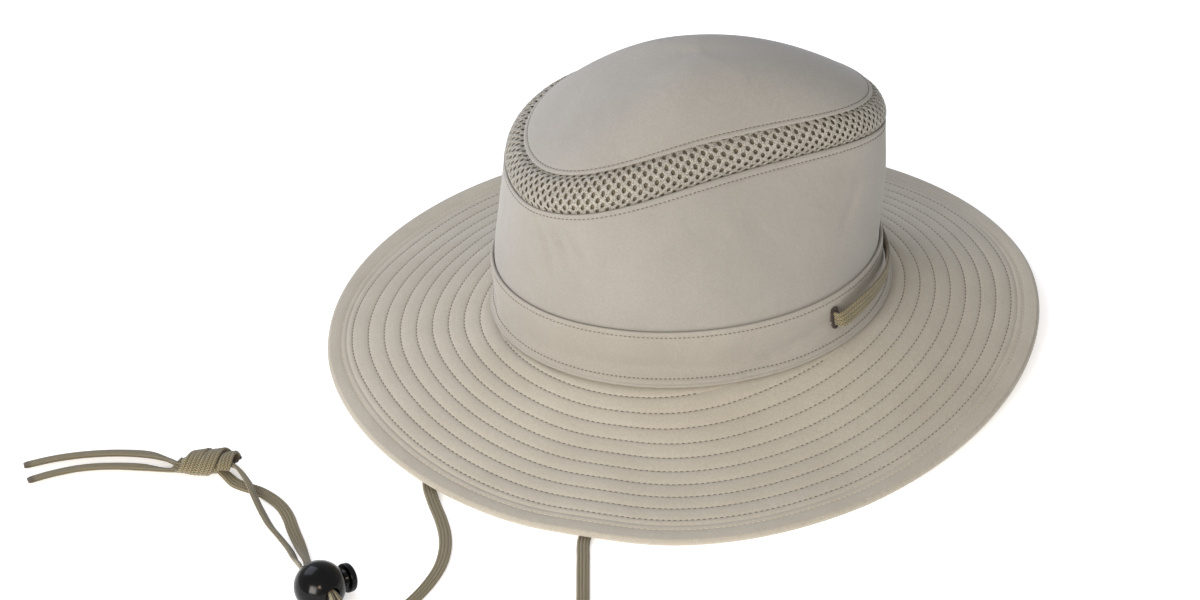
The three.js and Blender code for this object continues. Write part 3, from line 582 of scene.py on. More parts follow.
def rounded_slot(name, width, height, depth, frame_matrix):
    """A prism with a rounded slot's section, centred on a frame given as (x, y, z, origin) rows."""
    x_way, y_way, z_way, origin = frame_matrix
    r = width / 2
    turn = np.linspace(0, np.pi, 17)
    upper = np.stack([r * np.cos(turn), r * np.sin(turn) + height / 2 - r], axis=-1)
    outline = np.vstack([upper, -upper])
    rows = [
        origin + outline[:, :1] * x_way + outline[:, 1:] * y_way + z_way * along
        for along in (-depth / 2, depth / 2)
    ]
    piece = add_object(name, grid_mesh(name, rows, True, "capped"))
    point_outwards(piece)
    return piece


def cut_away(piece, cutters):
    """Cuts tools out of a piece, and removes the tools."""
    for tool in cutters:
        cut = piece.modifiers.new("cut", "BOOLEAN")
        cut.object = tool
        cut.operation = "DIFFERENCE"
        cut.solver = "EXACT"
    graph = bpy.context.evaluated_depsgraph_get()
    cut_mesh = bpy.data.meshes.new_from_object(piece.evaluated_get(graph))
    piece.modifiers.clear()
    piece.data = cut_mesh
    for tool in cutters:
        bpy.data.objects.remove(tool)


flat_radius = math.sqrt(ball_radius ** 2 - press_height ** 2)
top_angle = math.asin((press_height - 0.5) / ball_radius)
ball_profile = [
    (ball_radius * math.cos(a), ball_radius * math.sin(a))
    for a in np.linspace(-math.pi / 2, top_angle, 34)
]
ball_profile += [
    (flat_radius + 0.1, press_height - 0.18), (flat_radius - 0.5, press_height),
    (socket_radius + 0.3, press_height), (socket_radius, press_height - 0.3),
    (socket_radius, socket_depth), (0, socket_depth),
]
lock_ball = lathe("cord_lock_ball", ball_profile)
bore_wide = np.cross(bore_axis, button_axis)
bore_wide /= np.linalg.norm(bore_wide)
bore = rounded_slot(
    "bore", bore_height, bore_width, depth=40,
    frame_matrix=(np.cross(bore_wide, bore_axis), bore_wide, bore_axis, ball_centre),
)
cut_away(lock_ball, [bore])
lock_ball.data.shade_smooth()
button_profile = [
    (0, stem_foot), (stem_radius, stem_foot), (stem_radius, cap_start - 0.2),
    (stem_radius + 0.3, cap_start), (cap_radius - 0.5, cap_start), (cap_radius - 0.1, cap_start + 0.15),
    (cap_radius, cap_start + 0.6), (cap_radius, cap_start + cap_side),
]
button_profile += [
    (cap_radius * math.cos(a) ** 0.7, cap_start + cap_side + cap_dome * math.sin(a))
    for a in np.linspace(0.1, math.pi / 2 - 0.02, 12)
]
lock_button = lathe("cord_lock_button", button_profile)

# Moulded ABS with a polished mould finish: near black, and glossy enough to mirror the windows.
abs_material, tree, shader = new_material("polished_black_abs", "#070707", 0.16, Specular_IOR_Level=0.2)
place = add_node(tree, "ShaderNodeTexCoord").outputs["Object"]
handled = add_node(tree, "ShaderNodeTexNoise", {"Vector": place, "Scale": 300.0, "Detail": 5.0})
worn_gloss = add_node(
    tree, "ShaderNodeMapRange", {0: handled.outputs["Fac"], 1: 0.35, 2: 0.7, 3: 0.13, 4: 0.24},
)
tree.links.new(worn_gloss.outputs[0], shader.inputs["Roughness"])
for piece, body, node in ((lock_ball, "hat", "toggle_ball"), (lock_button, "button", "toggle_button")):
    piece.data.materials.clear()
    piece.data.materials.append(abs_material)
    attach(piece, body)
    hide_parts(node)

for name, far_end, pieces_on_it in [
    ("chin_cord_right", "knot", [lock_ball, lock_button, *knot_pieces]),
    ("chin_cord_left", "knot", []),
    ("cord_end_front", "bare", []),
    ("cord_end_back", "bare", []),
]:
    strand, path_points = strands[name]


# The brim is quilted: two layers of cloth with soft filling between, sewn through in rows that
# run parallel to the rim, which is rolled over and stitched down. It droops to both sides.
head_half_width = 82.6
head_half_length = 99.8
crown_setback = 5
brim_side = 86.5
brim_front = 77
brim_back = 87
brim_wall = 2.4
rim_wall = 3.0
brim_top_z = 26.4
brim_end_lift = 7.8
brim_flattening = 0.9
rim_stitch = 0.56
rim_fold = 0.77
rim_squareness = 1.92
rim_egg = 0.03
settled_width = 9
puff_height = 0.95
top_sink = 0.35
under_rise = 0.62
under_puff = 0.6
hidden_edge = 4.4
edge_radius = 1.35
edge_set_in = 1.5
quilt_rows = 10
ring_names = ("height", "width", "front", "back", "centre", "egg", "box", "lean", "side_lift")
foot_ring = dict(zip(ring_names, (0, 1, 0.995, 1.005, 0, -0.03, 0, -0.018, -0.017)))


def ring_point(ring, angle):
    across, along = np.cos(angle), np.sin(angle)
    swell = 1 + ring["egg"] * along + ring["box"] * along ** 2
    reach = np.where(along < 0, ring["front"], ring["back"])
    return np.stack([
        head_half_width * ring["width"] * across * swell,
        head_half_length * (ring["centre"] + reach * along) - crown_setback,
        brim_top_z + ring["height"] + head_half_length * ring["lean"] * along
        + head_half_width * ring["side_lift"] * across ** 2,
    ], axis=-1)


def bell(distance, spread):
    return np.exp(-(distance / spread) ** 2)


def rim_point(angle):
    across, along = np.cos(angle), np.sin(angle)
    corner = 2 / rim_squareness
    half_width = (head_half_width + brim_side) * (1 + rim_egg * along)
    half_length = (head_half_length * 2 + brim_front + brim_back) / 2
    x = half_width * np.sign(across) * np.abs(across) ** corner
    y = half_length * np.sign(along) * np.abs(along) ** corner
    return np.stack([x, y, 0 * x], axis=-1)


def rim_floor(angle):
    """Height of the rim's underside: up in front and behind, and where a chin strand runs under it."""
    over_cord = 2.3 * bell(np.degrees(angle) % 360 - 155, 9)
    return np.maximum(0, brim_end_lift * np.sin(angle) ** 2 - brim_flattening) + over_cord


def row_spacing(angle):
    """How much of a spoke from foot to rim one millimetre of distance from the rim takes."""
    spoke = rim_point(angle)[..., :2] - ring_point(foot_ring, angle)[..., :2]
    along_rim = rim_point(angle + 1e-4)[..., :2] - rim_point(angle - 1e-4)[..., :2]
    along_rim /= np.linalg.norm(along_rim, axis=-1, keepdims=True)
    width = np.abs(spoke[..., 0] * along_rim[..., 1] - spoke[..., 1] * along_rim[..., 0])
    return 1 / width


def brim_middle(angle, from_rim):
    """The brim's underside without its quilting, and its wall there."""
    share = 1 - from_rim * row_spacing(angle)
    foot, rim = ring_point(foot_ring, angle), rim_point(angle)
    curve = 1.2 + 1.1 * np.cos(angle) ** 2
    settled = 1 - (settled_width / brim_side) * np.cos(angle) ** 2
    fall = 1 - (1 - np.clip(share / settled, 0, 1)) ** curve
    under = foot[..., 2] - brim_wall + (rim_floor(angle) - foot[..., 2] + brim_wall) * fall
    wall = brim_wall + (rim_wall - brim_wall) * np.clip((share - 0.85) / 0.12, 0, 1)
    across = foot + (rim - foot) * share[..., None]
    return np.stack([across[..., 0], across[..., 1], under], axis=-1), wall


def first_row(angle):
    """Distance from the rim to the first quilting row. The hem's own lines are shares of it."""
    degrees = np.degrees(angle) % 360
    return (
        15.3 - 2.6 * bell(degrees - 82, 20) + 2.2 * bell(degrees - 48, 14)
        + 0.9 * bell(degrees - 178, 30) - 1.6 * bell(degrees - 285, 40)
    )


def row_pitch(angle):
    """Distance from one quilting row to the next, which varies a little round the brim."""
    degrees = np.degrees(angle) % 360
    return (
        7.45 + 1.15 * bell(degrees - 70, 28) + 0.25 * bell(degrees - 185, 25)
        + 0.6 * bell(degrees - 282, 25)
    )


def quilting(angle, from_rim):
    """Height of the puffs, 0 at each row of stitches. Powers below 1 keep them full in between."""
    first = first_row(angle)
    beyond = np.clip((from_rim - first) / row_pitch(angle), 0, None)
    main = np.abs(np.sin(np.pi * beyond)) ** 0.55
    hem = from_rim / first
    between = np.clip((hem - rim_fold) / (1 - rim_fold), 0, 1)
    narrow = 0.55 * np.abs(np.sin(np.pi * between)) ** 0.7
    band = np.clip(hem / rim_stitch, 0, 1)
    rolled = 0.75 * np.abs(np.sin(np.pi * np.clip(band * 0.93 + 0.07, 0, 1))) ** 0.6
    ridge = np.clip((hem - rim_stitch) / (rim_fold - rim_stitch), 0, 1)
    ridged = 0.5 * np.abs(np.sin(np.pi * ridge)) ** 0.8
    return np.select([hem >= 1, hem >= rim_fold, hem >= rim_stitch], [main, narrow, ridged], rolled)


def brim_top(angle, from_rim, lift=0.0):
    place, wall = brim_middle(angle, from_rim)
    from_foot = 1 / row_spacing(angle) - from_rim
    puff = puff_height * (0.1 + 0.9 * np.clip(from_foot / 5, 0, 1))
    place[..., 2] += wall - top_sink + puff * quilting(angle, from_rim) + lift
    return place


def brim_under(angle, from_rim, lift=0.0):
    place, _ = brim_middle(angle, from_rim)
    place[..., 2] += under_rise - under_puff * quilting(angle, from_rim) + lift
    return place


columns = 384
angles = np.linspace(0, 2 * np.pi, columns, endpoint=False)
hem_shares = [
    0.07, 0.12, 0.19, 0.27, 0.36, 0.44, 0.5, 0.54, 0.555, 0.565, 0.58,
    0.62, 0.66, 0.71, 0.75, 0.765, 0.775, 0.79, 0.83, 0.88, 0.94, 0.985,
]
row_shares = np.array([0, 0.045, 0.13, 0.3, 0.5, 0.7, 0.87, 0.955])
rows_inward = (np.arange(quilt_rows + 1)[:, None] + row_shares[None, :]).ravel()
inner_reach = 1 / row_spacing(angles) + hidden_edge


def tucked_in(distance):
    """Distances from the rim, pressed together where the brim's inner edge ends under the crown."""
    pressed = 3
    start = inner_reach - pressed
    beyond = np.maximum(0, distance - start)
    return np.minimum(distance, start) + pressed * (1 - np.exp(-beyond / pressed))


first, pitch = first_row(angles), row_pitch(angles)
top_distances = [first * share for share in hem_shares]
top_distances += [tucked_in(first + pitch * row) for row in rows_inward]
under_distances = [first * share for share in hem_shares[2:]]
under_distances += [tucked_in(first + pitch * row) for row in rows_inward[::2]]
edge_turn = np.linspace(-0.42, 0.42, 7) * np.pi
edge_rows = []
for turn in edge_turn:
    place, wall = brim_middle(angles, np.full(columns, edge_set_in * (1 - math.cos(turn))))
    place[:, 2] += wall / 2 + edge_radius * math.sin(turn)
    edge_rows.append(place)
brim_rows = [brim_under(angles, d) for d in under_distances[::-1]]
brim_rows += edge_rows
brim_rows += [brim_top(angles, d) for d in top_distances]
# The texture's coordinates are millimetres along the rim, and rows of stitches counted inwards.
arc = walked(rim_point(np.append(angles, 2 * np.pi)))
at_edge = [np.zeros(columns)] * len(edge_rows)
distances = np.array([*under_distances[::-1], *at_edge, *top_distances])
counted = np.where(distances < first, 2 * (distances / first - 1), (distances - first) / pitch)
counted = np.column_stack([counted, counted[:, :1]])
brim_uv = np.stack([np.broadcast_to(arc, counted.shape), counted], axis=-1)
brim = add_object("quilted_brim", grid_mesh("quilted_brim", brim_rows, True, "ring", brim_uv))
point_outwards(brim)


# Peach-skin microfibre, softly brushed: a matt light greige with a faint grain and a slight
# bloom where it turns away. The grain is drawn at 0.9 mm, coarser than the real nap, so it shows.
def microfibre(name, base, dark, rumple):
    material, tree, shader = new_material(name, base, 0.88, Sheen_Weight=0.22, Sheen_Roughness=0.6)
    place = add_node(tree, "ShaderNodeTexCoord").outputs["Object"]
    weave = add_node(tree, "ShaderNodeTexNoise", {
        "Vector": place, "Scale": 1150.0, "Detail": 4.0, "Roughness": 0.75,
    })
    cloudy = add_node(tree, "ShaderNodeTexNoise", {"Vector": place, "Scale": 26.0, "Detail": 4.0})
    creased = add_node(tree, "ShaderNodeTexNoise", {
        "Vector": place, "Scale": 34.0, "Detail": 3.0, "Roughness": 0.55, "Distortion": 0.7,
    })
    fleck = add_node(
        tree, "ShaderNodeMapRange", {0: weave.outputs["Fac"], 1: 0.33, 2: 0.67, 3: 0.0, 4: 0.5},
    )
    grained = add_node(
        tree, "ShaderNodeMix",
        {0: fleck.outputs[0], 6: colour(base), 7: colour(dark)}, data_type="RGBA",
    )
    soften = add_node(
        tree, "ShaderNodeMapRange", {0: cloudy.outputs["Fac"], 1: 0.3, 2: 0.7, 3: 0.0, 4: 0.3},
    )
    clouded = add_node(
        tree, "ShaderNodeMix",
        {0: soften.outputs[0], 6: grained.outputs[2], 7: colour(dark)}, data_type="RGBA",
    )
    tree.links.new(clouded.outputs[2], shader.inputs["Base Color"])
    soft_bump = add_node(
        tree, "ShaderNodeBump", {"Strength": rumple, "Distance": 0.002, "Height": creased.outputs["Fac"]},
    )
    bump = add_node(tree, "ShaderNodeBump", {
        "Strength": 0.4, "Distance": 0.0002, "Height": weave.outputs["Fac"],
        "Normal": soft_bump.outputs[0],
    })
    tree.links.new(bump.outputs[0], shader.inputs["Normal"])
    return material, tree, soft_bump


brim_cloth, tree, soft_bump = microfibre("brushed_microfibre_brim", "#aea99c", "#8b8373", 0.3)
# The stitches gather the cloth into small puckers that run a little way across each row.
pucker_length = 2.9
brim_uv_map = add_node(tree, "ShaderNodeUVMap")
brim_place = add_node(tree, "ShaderNodeSeparateXYZ", {0: brim_uv_map.outputs["UV"]})
along_rim = add_node(
    tree, "ShaderNodeMath", {0: brim_place.outputs["X"], 1: 1 / pucker_length}, operation="MULTIPLY",
)
pucker_place = add_node(
    tree, "ShaderNodeCombineXYZ", {0: along_rim.outputs[0], 1: brim_place.outputs["Y"]},
)
pucker = add_node(
    tree, "ShaderNodeTexNoise", {"Vector": pucker_place.outputs[0], "Scale": 1.0, "Detail": 2.0},
)
from_row = add_node(tree, "ShaderNodeMath", {0: brim_place.outputs["Y"], 1: 1.0}, operation="PINGPONG")
near_row = add_node(
    tree, "ShaderNodeMapRange", {0: from_row.outputs[0], 1: 0.42, 2: 0.06, 3: 0.0, 4: 1.0},
)
gathered = add_node(
    tree, "ShaderNodeMath", {0: pucker.outputs["Fac"], 1: near_row.outputs[0]}, operation="MULTIPLY",
)
pucker_bump = add_node(
    tree, "ShaderNodeBump", {"Strength": 0.5, "Distance": 0.0008, "Height": gathered.outputs[0]},
)
tree.links.new(pucker_bump.outputs[0], soft_bump.inputs["Normal"])
brim.data.materials.append(brim_cloth)
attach(brim, "hat")
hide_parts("brim")


# The rows are lockstitched with spun polyester thread. Each stitch is a short bead of thread that pulls
# the cloth down into a groove and lies in its own shadow there, 2.75 mm from the next. That shadow is
# painted into the bead's dark colour.
stitch_pitch = 2.75
stitch_length = 1.5
thread_width = 0.62
stitch_lift = 0.12


def fibrous(name, light, dark, roughness, scale, **settings):
    """Yarn or thread: its tone wanders between two colours at its fibres' scale, and it is uneven."""
    material, tree, shader = new_material(name, light, roughness, **settings)
    place = add_node(tree, "ShaderNodeTexCoord").outputs["Object"]
    fibres = add_node(tree, "ShaderNodeTexNoise", {"Vector": place, "Scale": scale, "Detail": 3.0})
    tone = add_node(
        tree, "ShaderNodeMix",
        {0: fibres.outputs["Fac"], 6: colour(light), 7: colour(dark)}, data_type="RGBA",
    )
    tree.links.new(tone.outputs[2], shader.inputs["Base Color"])
    fuzz = add_node(
        tree, "ShaderNodeBump", {"Strength": 0.4, "Distance": 0.0001, "Height": fibres.outputs["Fac"]},
    )
    tree.links.new(fuzz.outputs[0], shader.inputs["Normal"])
    return material


# Spun polyester thread: matt and slightly hairy. In the quilting it is coloured dark olive as painted
# groove shade; at the rim it is coloured pale as a painted highlight of the lit fold.
thread_painted_groove_shade = fibrous("spun_polyester_thread", "#685d4c", "#4f4639", 0.8, 3000.0, Sheen_Weight=0.15)
rim_thread_painted_highlight = fibrous("pale_spun_polyester_thread", "#c6beac", "#b2aa98", 0.8, 3000.0, Sheen_Weight=0.15)


def new_tree(name, **inputs):
    """A geometry tree with a Geometry input and output, and one input for each named socket type."""
    tree = bpy.data.node_groups.new(name, "GeometryNodeTree")
    tree.interface.new_socket("Geometry", in_out="OUTPUT", socket_type="NodeSocketGeometry")
    tree.interface.new_socket("Geometry", in_out="INPUT", socket_type="NodeSocketGeometry")
    for title, kind in inputs.items():
        tree.interface.new_socket(
            title.replace("_", " "), in_out="INPUT", socket_type="NodeSocket" + kind,
        )
    return tree, tree.nodes.new("NodeGroupInput"), tree.nodes.new("NodeGroupOutput")


def end_tree(tree, group_out, geometry, material):
    realized = add_node(tree, "GeometryNodeRealizeInstances", {"Geometry": geometry})
    finished = add_node(
        tree, "GeometryNodeSetMaterial", {"Geometry": realized.outputs[0], "Material": material},
    )
    tree.links.new(finished.outputs[0], group_out.inputs[0])


def grown(name, tree, base_mesh, **values):
    """Runs a tree on a base mesh and keeps the result as a plain mesh."""
    seedling = add_object(name + "_base", base_mesh)
    modifier = seedling.modifiers.new("grow", "NODES")
    modifier.node_group = tree
    for item in tree.interface.items_tree:
        key = item.name.replace(" ", "_")
        if item.in_out == "INPUT" and key in values:
            modifier[item.identifier] = values[key]
    graph = bpy.context.evaluated_depsgraph_get()
    mesh = bpy.data.meshes.new_from_object(seedling.evaluated_get(graph))
    mesh.name = name
    bpy.data.objects.remove(seedling)
    return add_object(name, mesh)


stitch_tree, group_in, group_out = new_tree(
    "lockstitch", Pitch="Float", Stitch_length="Float", Thread_width="Float",
)
seam_curve = add_node(stitch_tree, "GeometryNodeMeshToCurve", {"Mesh": group_in.outputs["Geometry"]})
needle_points = add_node(
    stitch_tree, "GeometryNodeCurveToPoints",
    {"Curve": seam_curve.outputs[0], "Length": group_in.outputs["Pitch"]}, mode="LENGTH",
)
bead = add_node(stitch_tree, "GeometryNodeMeshUVSphere", {"Segments": 6, "Rings": 4, "Radius": 0.5})
bead_size = add_node(stitch_tree, "ShaderNodeCombineXYZ", {
    "X": group_in.outputs["Thread width"], "Y": group_in.outputs["Thread width"],
    "Z": group_in.outputs["Stitch length"],
})
sized_bead = add_node(
    stitch_tree, "GeometryNodeTransform",
    {"Geometry": bead.outputs["Mesh"], "Scale": bead_size.outputs[0]},
)
stitches = add_node(stitch_tree, "GeometryNodeInstanceOnPoints", {
    "Points": needle_points.outputs["Points"], "Instance": sized_bead.outputs[0],
    "Rotation": needle_points.outputs["Rotation"],
})
# The thread's dark colour is painted groove shade.
end_tree(stitch_tree, group_out, stitches.outputs[0], thread_painted_groove_shade)


def seam(name, lines, pitch=stitch_pitch, length=stitch_length, width=thread_width):
    """Stitches along lines of points, closed ones or open ones, one piece for all of them."""
    points, edges = [], []
    for line, closed in lines:
        start, count = len(points), len(line)
        points += (np.asarray(line) / 1000).tolist()
        edges += [(start + i, start + (i + 1) % count) for i in range(count if closed else count - 1)]
    path_mesh = bpy.data.meshes.new(name + "_path")
    path_mesh.from_pydata(points, edges, [])
    piece = grown(
        name, stitch_tree, path_mesh,
        Pitch=pitch / 1000, Stitch_length=length / 1000, Thread_width=width / 1000,
    )
    piece.data.shade_smooth()
    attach(piece, "hat")
    return piece


fine_angles = np.linspace(0, 2 * np.pi, 900, endpoint=False)
last_shown = 0.97
hem_offset = 0.012


def row_line(surface, row, lift):
    """A quilting row, counted from the rim. The innermost ones run under the crown at the front."""
    distance = first_row(fine_angles) + row_pitch(fine_angles) * row
    shown = distance * row_spacing(fine_angles) < last_shown
    first = 0 if shown.all() else int(np.argmax(~shown))
    order = np.roll(np.arange(len(fine_angles)), -first)
    order = order[shown[order]]
    return surface(fine_angles[order], distance[order], lift), bool(shown.all())


def hem_line(surface, share, lift):
    return surface(fine_angles, first_row(fine_angles) * share, lift), True


brim_faces = (("top", brim_top, stitch_lift), ("under", brim_under, -stitch_lift))
for side, surface, lift in brim_faces:
    seam("brim_stitches_" + side, [row_line(surface, row, lift) for row in range(quilt_rows)])
for side, surface, lift in brim_faces:
    hem = hem_line(surface, rim_stitch + hem_offset, lift)
    rim_seam = seam("rim_stitches_" + side, [hem], length=2.1, width=0.5)
    # The rim's stitches are pale: a painted highlight of the lit fold beside them.
    rim_seam.data.materials.clear()
    rim_seam.data.materials.append(rim_thread_painted_highlight)


# The crown's side is a wall of the same cloth. Its foot is sewn to the brim behind the band, and
# its top edge is turned in and topstitched over the net. It is soft, so it has a few dents.
side_height = 84
crown_wall = 1.2
band_wall = 1.4
foot_gap = 0.7
crown_rings = [
    foot_ring,
    dict(zip(ring_names, (28, 0.966, 0.968, 1.003, 0, 0, 0, 0.009, 0.022))),
    dict(zip(ring_names, (57.12, 0.79, 0.985, 0.962, -0.012, 0.2, 0.13, -0.008, 0.072))),
    dict(zip(ring_names, (84, 0.595, 0.967, 0.924, -0.025, 0.48, 0.34, -0.028, 0.13))),
]
panel_ring = dict(zip(ring_names, (99.5, 0.535, 0.936, 0.785, 0.011, 0.28, 0.26, -0.047, 0.158)))
crown_dents = [
    # angle, spread, height share, reach, depth
    (128, 11, 0.8, 0.22, 2.4),
    (147, 9, 0.68, 0.26, 1.3),
    (40, 13, 0.7, 0.25, 1.9),
    (178, 26, 0.14, 0.09, 1.4),
]
crown_creases = [
    # from angle, height share, to angle, height share, width in millimetres, depth
    (117, 0.93, 127, 0.60, 1.9, 1.5),
    (123, 0.92, 134, 0.66, 1.8, 1.4),
    (131, 0.90, 141, 0.70, 2.1, 1.2),
    (112, 0.70, 122, 0.52, 2.6, 1.0),
    (218, 0.20, 187, 0.05, 2.7, 2.2),
    (186, 0.075, 128, 0.115, 3.2, 1.9),
    (232, 0.78, 222, 0.60, 3.0, 0.9),
    (36, 0.88, 28, 0.62, 2.6, 1.2),
    (64, 0.30, 92, 0.07, 3.6, 1.5),
    (330, 0.27, 352, 0.06, 3.6, 1.6),
    (300, 0.92, 309, 0.68, 2.6, 1.1),
]
millimetres_a_degree = 1.55


def dent_at(angle, share):
    """How far the cloth has sunk in: wide soft dents, and narrow straight creases that fade out
    towards their ends."""
    degrees = np.degrees(angle) % 360
    sunk = sum(
        depth * bell(degrees - at, spread) * bell(share - height, reach)
        for at, spread, height, reach, depth in crown_dents
    )
    for from_angle, from_share, to_angle, to_share, width, depth in crown_creases:
        x = (degrees - from_angle) * millimetres_a_degree
        y = (share - from_share) * side_height
        end_x = (to_angle - from_angle) * millimetres_a_degree
        end_y = (to_share - from_share) * side_height
        length = math.hypot(end_x, end_y)
        along = np.clip((x * end_x + y * end_y) / length ** 2, 0, 1)
        away = np.hypot(x - along * end_x, y - along * end_y)
        sunk = sunk + depth * np.sin(np.pi * (0.12 + 0.76 * along)) * bell(away, width)
    return sunk


def crown_form(angle, share):
    """The crown's side without wall or dents: a smooth curve up through its rings."""
    height = share * side_height
    levels = [ring["height"] for ring in crown_rings]
    points = [ring_point(ring, angle) for ring in crown_rings]
    result = np.zeros(np.broadcast(angle, share).shape + (3,))
    last = len(points) - 1
    for i in range(last):
        above = levels[i] if i > 0 else -np.inf
        below = levels[i + 1] if i < last - 1 else np.inf
        inside = (height > above) & (height <= below)
        t = ((height - levels[i]) / (levels[i + 1] - levels[i]))[..., None]
        start = (points[i + 1] - points[max(0, i - 1)]) * (0.5 if i > 0 else 1)
        end = (points[min(last, i + 2)] - points[i]) * (0.5 if i < last - 1 else 1)
        place = (
            points[i] * (2 * t ** 3 - 3 * t ** 2 + 1) + start * (t ** 3 - 2 * t ** 2 + t)
            + points[i + 1] * (3 * t ** 2 - 2 * t ** 3) + end * (t ** 3 - t ** 2)
        )
        result = np.where(inside[..., None], place, result)
    return result


def inset(surface, angle, share, depth):
    """Moves points of a surface into the hat along its normals."""
    small = 0.004
    along_angle = surface(angle + small, share) - surface(angle - small, share)
    along_share = surface(angle, share + small) - surface(angle, share - small)
    normal = np.cross(along_angle, along_share)
    normal /= np.linalg.norm(normal, axis=-1, keepdims=True)
    return surface(angle, share) - normal * np.asarray(depth)[..., None]


def side_point(angle, share, depth):
    """A point of the side, which runs free behind the band and comes out to the form above it."""
    covered = 1 - np.clip((share - 1 / 3) / (2 / 3), 0, 1)
    behind_band = (band_wall + 0.3) * covered
    return inset(crown_form, angle, share, depth + dent_at(angle, share) + behind_band)


crown_columns = 420
crown_angles = np.linspace(0, 2 * np.pi, crown_columns, endpoint=False)


def around(value):
    return np.full(crown_columns, value)


def wall_around(name, profile, surface):
    """A closed wall from a profile of share and depth, walked up outside and down inside."""
    rows = [surface(crown_angles, around(share), around(depth)) for share, depth in profile]
    piece = add_object(name, grid_mesh(name, rows, True, "ring"))
    point_outwards(piece)
    return piece


side_seam = 1 - 2.6 / side_height
side_profile = [(foot_gap / side_height, 0.0)]
side_profile += [(s, 0.0) for s in np.linspace(0.02, side_seam - 0.012, 46)]
side_profile += [
    (side_seam - 0.006, 0.02), (side_seam - 0.002, 0.24), (side_seam + 0.002, 0.24),
    (side_seam + 0.006, 0.0), (side_seam + 0.012, -0.14), (0.99, -0.15),
    (0.997, 0.05), (1.0, 0.45), (0.998, 0.9), (0.99, crown_wall),
]
side_profile += [(s, crown_wall) for s in np.linspace(0.97, foot_gap / side_height, 24)]
# Each slit's directions across it, up along it and out of the cloth, and its middle.
slit_frames = [
    np.array([
        (0.534 * side, -0.845, 0), (0.098 * side, 0.062, 0.993),
        (-0.84 * side, -0.531, 0.116), (-65.96 * side, -63.51, 43.33),
    ])
    for side in (1, -1)
]
slit_width = 3.0
slit_height = 10.6


def slit_cutters():
    return [
        rounded_slot("slit_cutter", slit_width, slit_height, depth=30, frame_matrix=matrix)
        for matrix in slit_frames
    ]


side_crown = wall_around("crown_side", side_profile, side_point)
cut_away(side_crown, slit_cutters())
# The same cloth as the brim's, coloured darker and greyer: painted shade of the crown's side and top,
# which get less light.
crown_cloth_painted_shade, _, _ = microfibre("brushed_microfibre_crown", "#94918a", "#79766f", 0.6)
side_crown.data.materials.append(crown_cloth_painted_shade)
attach(side_crown, "hat")
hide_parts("side_crown")


# The hat band is a doubled strip of the cloth round the crown's foot, its top edge folded and
# its foot turned out into a narrow lip that is stitched to the brim.
def band_point(angle, share, depth):
    return inset(crown_form, angle, share, dent_at(angle, share) + depth)


def band_share(height):
    return height / side_height


band_top_seam = 25.5
band_foot_seam = 4.25
band_outline = [
    # height, depth
    (0.95, -0.2), (0.92, -1.6), (1.05, -2.1), (1.45, -2.25), (1.95, -2.1), (2.25, -1.6), (2.4, -1.3),
    (2.6, -1.4), (3.0, -1.4), (3.6, -1.15), (4.0, -0.7), (4.15, -0.4), (4.3, -0.35), (4.6, -0.4),
    (5.4, -0.1), (7, 0.45), (9, 0.7), (12, 0.62), (15, 0.42), (18, 0.22), (21, 0.05), (23, -0.08),
    (24.6, -0.2), (25.2, -0.02), (band_top_seam, 0.24), (25.8, 0.0), (26.3, -0.2), (27, -0.18),
    (27.6, -0.08), (27.95, 0.2), (28, 0.6), (27.9, 1.1),
]
band_outline += [(height, band_wall) for height in (27.5, 24, 18, 12, 6, 2, 0.75)]
band_profile = [(band_share(height), depth) for height, depth in band_outline]
hat_band = wall_around("hat_band_strip", band_profile, band_point)
cut_away(hat_band, slit_cutters())
# The same cloth as the brim's, coloured darker: painted shade of the band.
band_cloth_painted_shade, _, _ = microfibre("brushed_microfibre_band", "#99958c", "#7c786e", 0.6)
hat_band.data.materials.append(band_cloth_painted_shade)
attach(hat_band, "hat")
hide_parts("hat_band")


# The ventilation band is a knitted net, sewn in behind the edges of the crown's side and of its top.
# Behind it stands a dark sheet of painted shade, for the hat's shaded inside seen through the holes.
net_bulge = 2.2
net_lap = 3.2
behind_edge = 1.5
dome_rise = 36
dome_fullness = 1.94
panel_half_width = 44.2


def net_form(angle, share):
    low, high = ring_point(crown_rings[-1], angle), ring_point(panel_ring, angle)
    return low + (high - low) * share[..., None]


def net_point(angle, share, depth):
    bulge = net_bulge * np.sin(np.pi * np.clip(share, 0, 1))
    return inset(net_form, angle, share, depth - bulge)


panel_middle = panel_ring["centre"] + (panel_ring["back"] - panel_ring["front"]) / 2
panel_middle_y = head_half_length * panel_middle - crown_setback
panel_edge_z = brim_top_z + panel_ring["height"]


def panel_form(angle, share):
    edge = ring_point(panel_ring, angle)
    rest = 1 - share
    dome = dome_rise * (1 - np.abs(rest) ** dome_fullness)
    return np.stack([
        edge[..., 0] * rest,
        edge[..., 1] + (panel_middle_y - edge[..., 1]) * share,
        panel_edge_z + (edge[..., 2] - panel_edge_z) * rest + dome,
    ], axis=-1)


def panel_point(angle, share, depth):
    return inset(panel_form, angle, share, depth)


net_stations = [
    # surface, share, depth behind it
    (side_point, 1 - net_lap / side_height, behind_edge),
    (side_point, 1.0, behind_edge),
    (net_point, 0.16, 0.15),
    (net_point, 0.36, 0.0),
    (net_point, 0.62, 0.0),
    (net_point, 0.84, 0.15),
    (panel_point, 0.0, behind_edge),
    (panel_point, net_lap / panel_half_width, behind_edge),
]


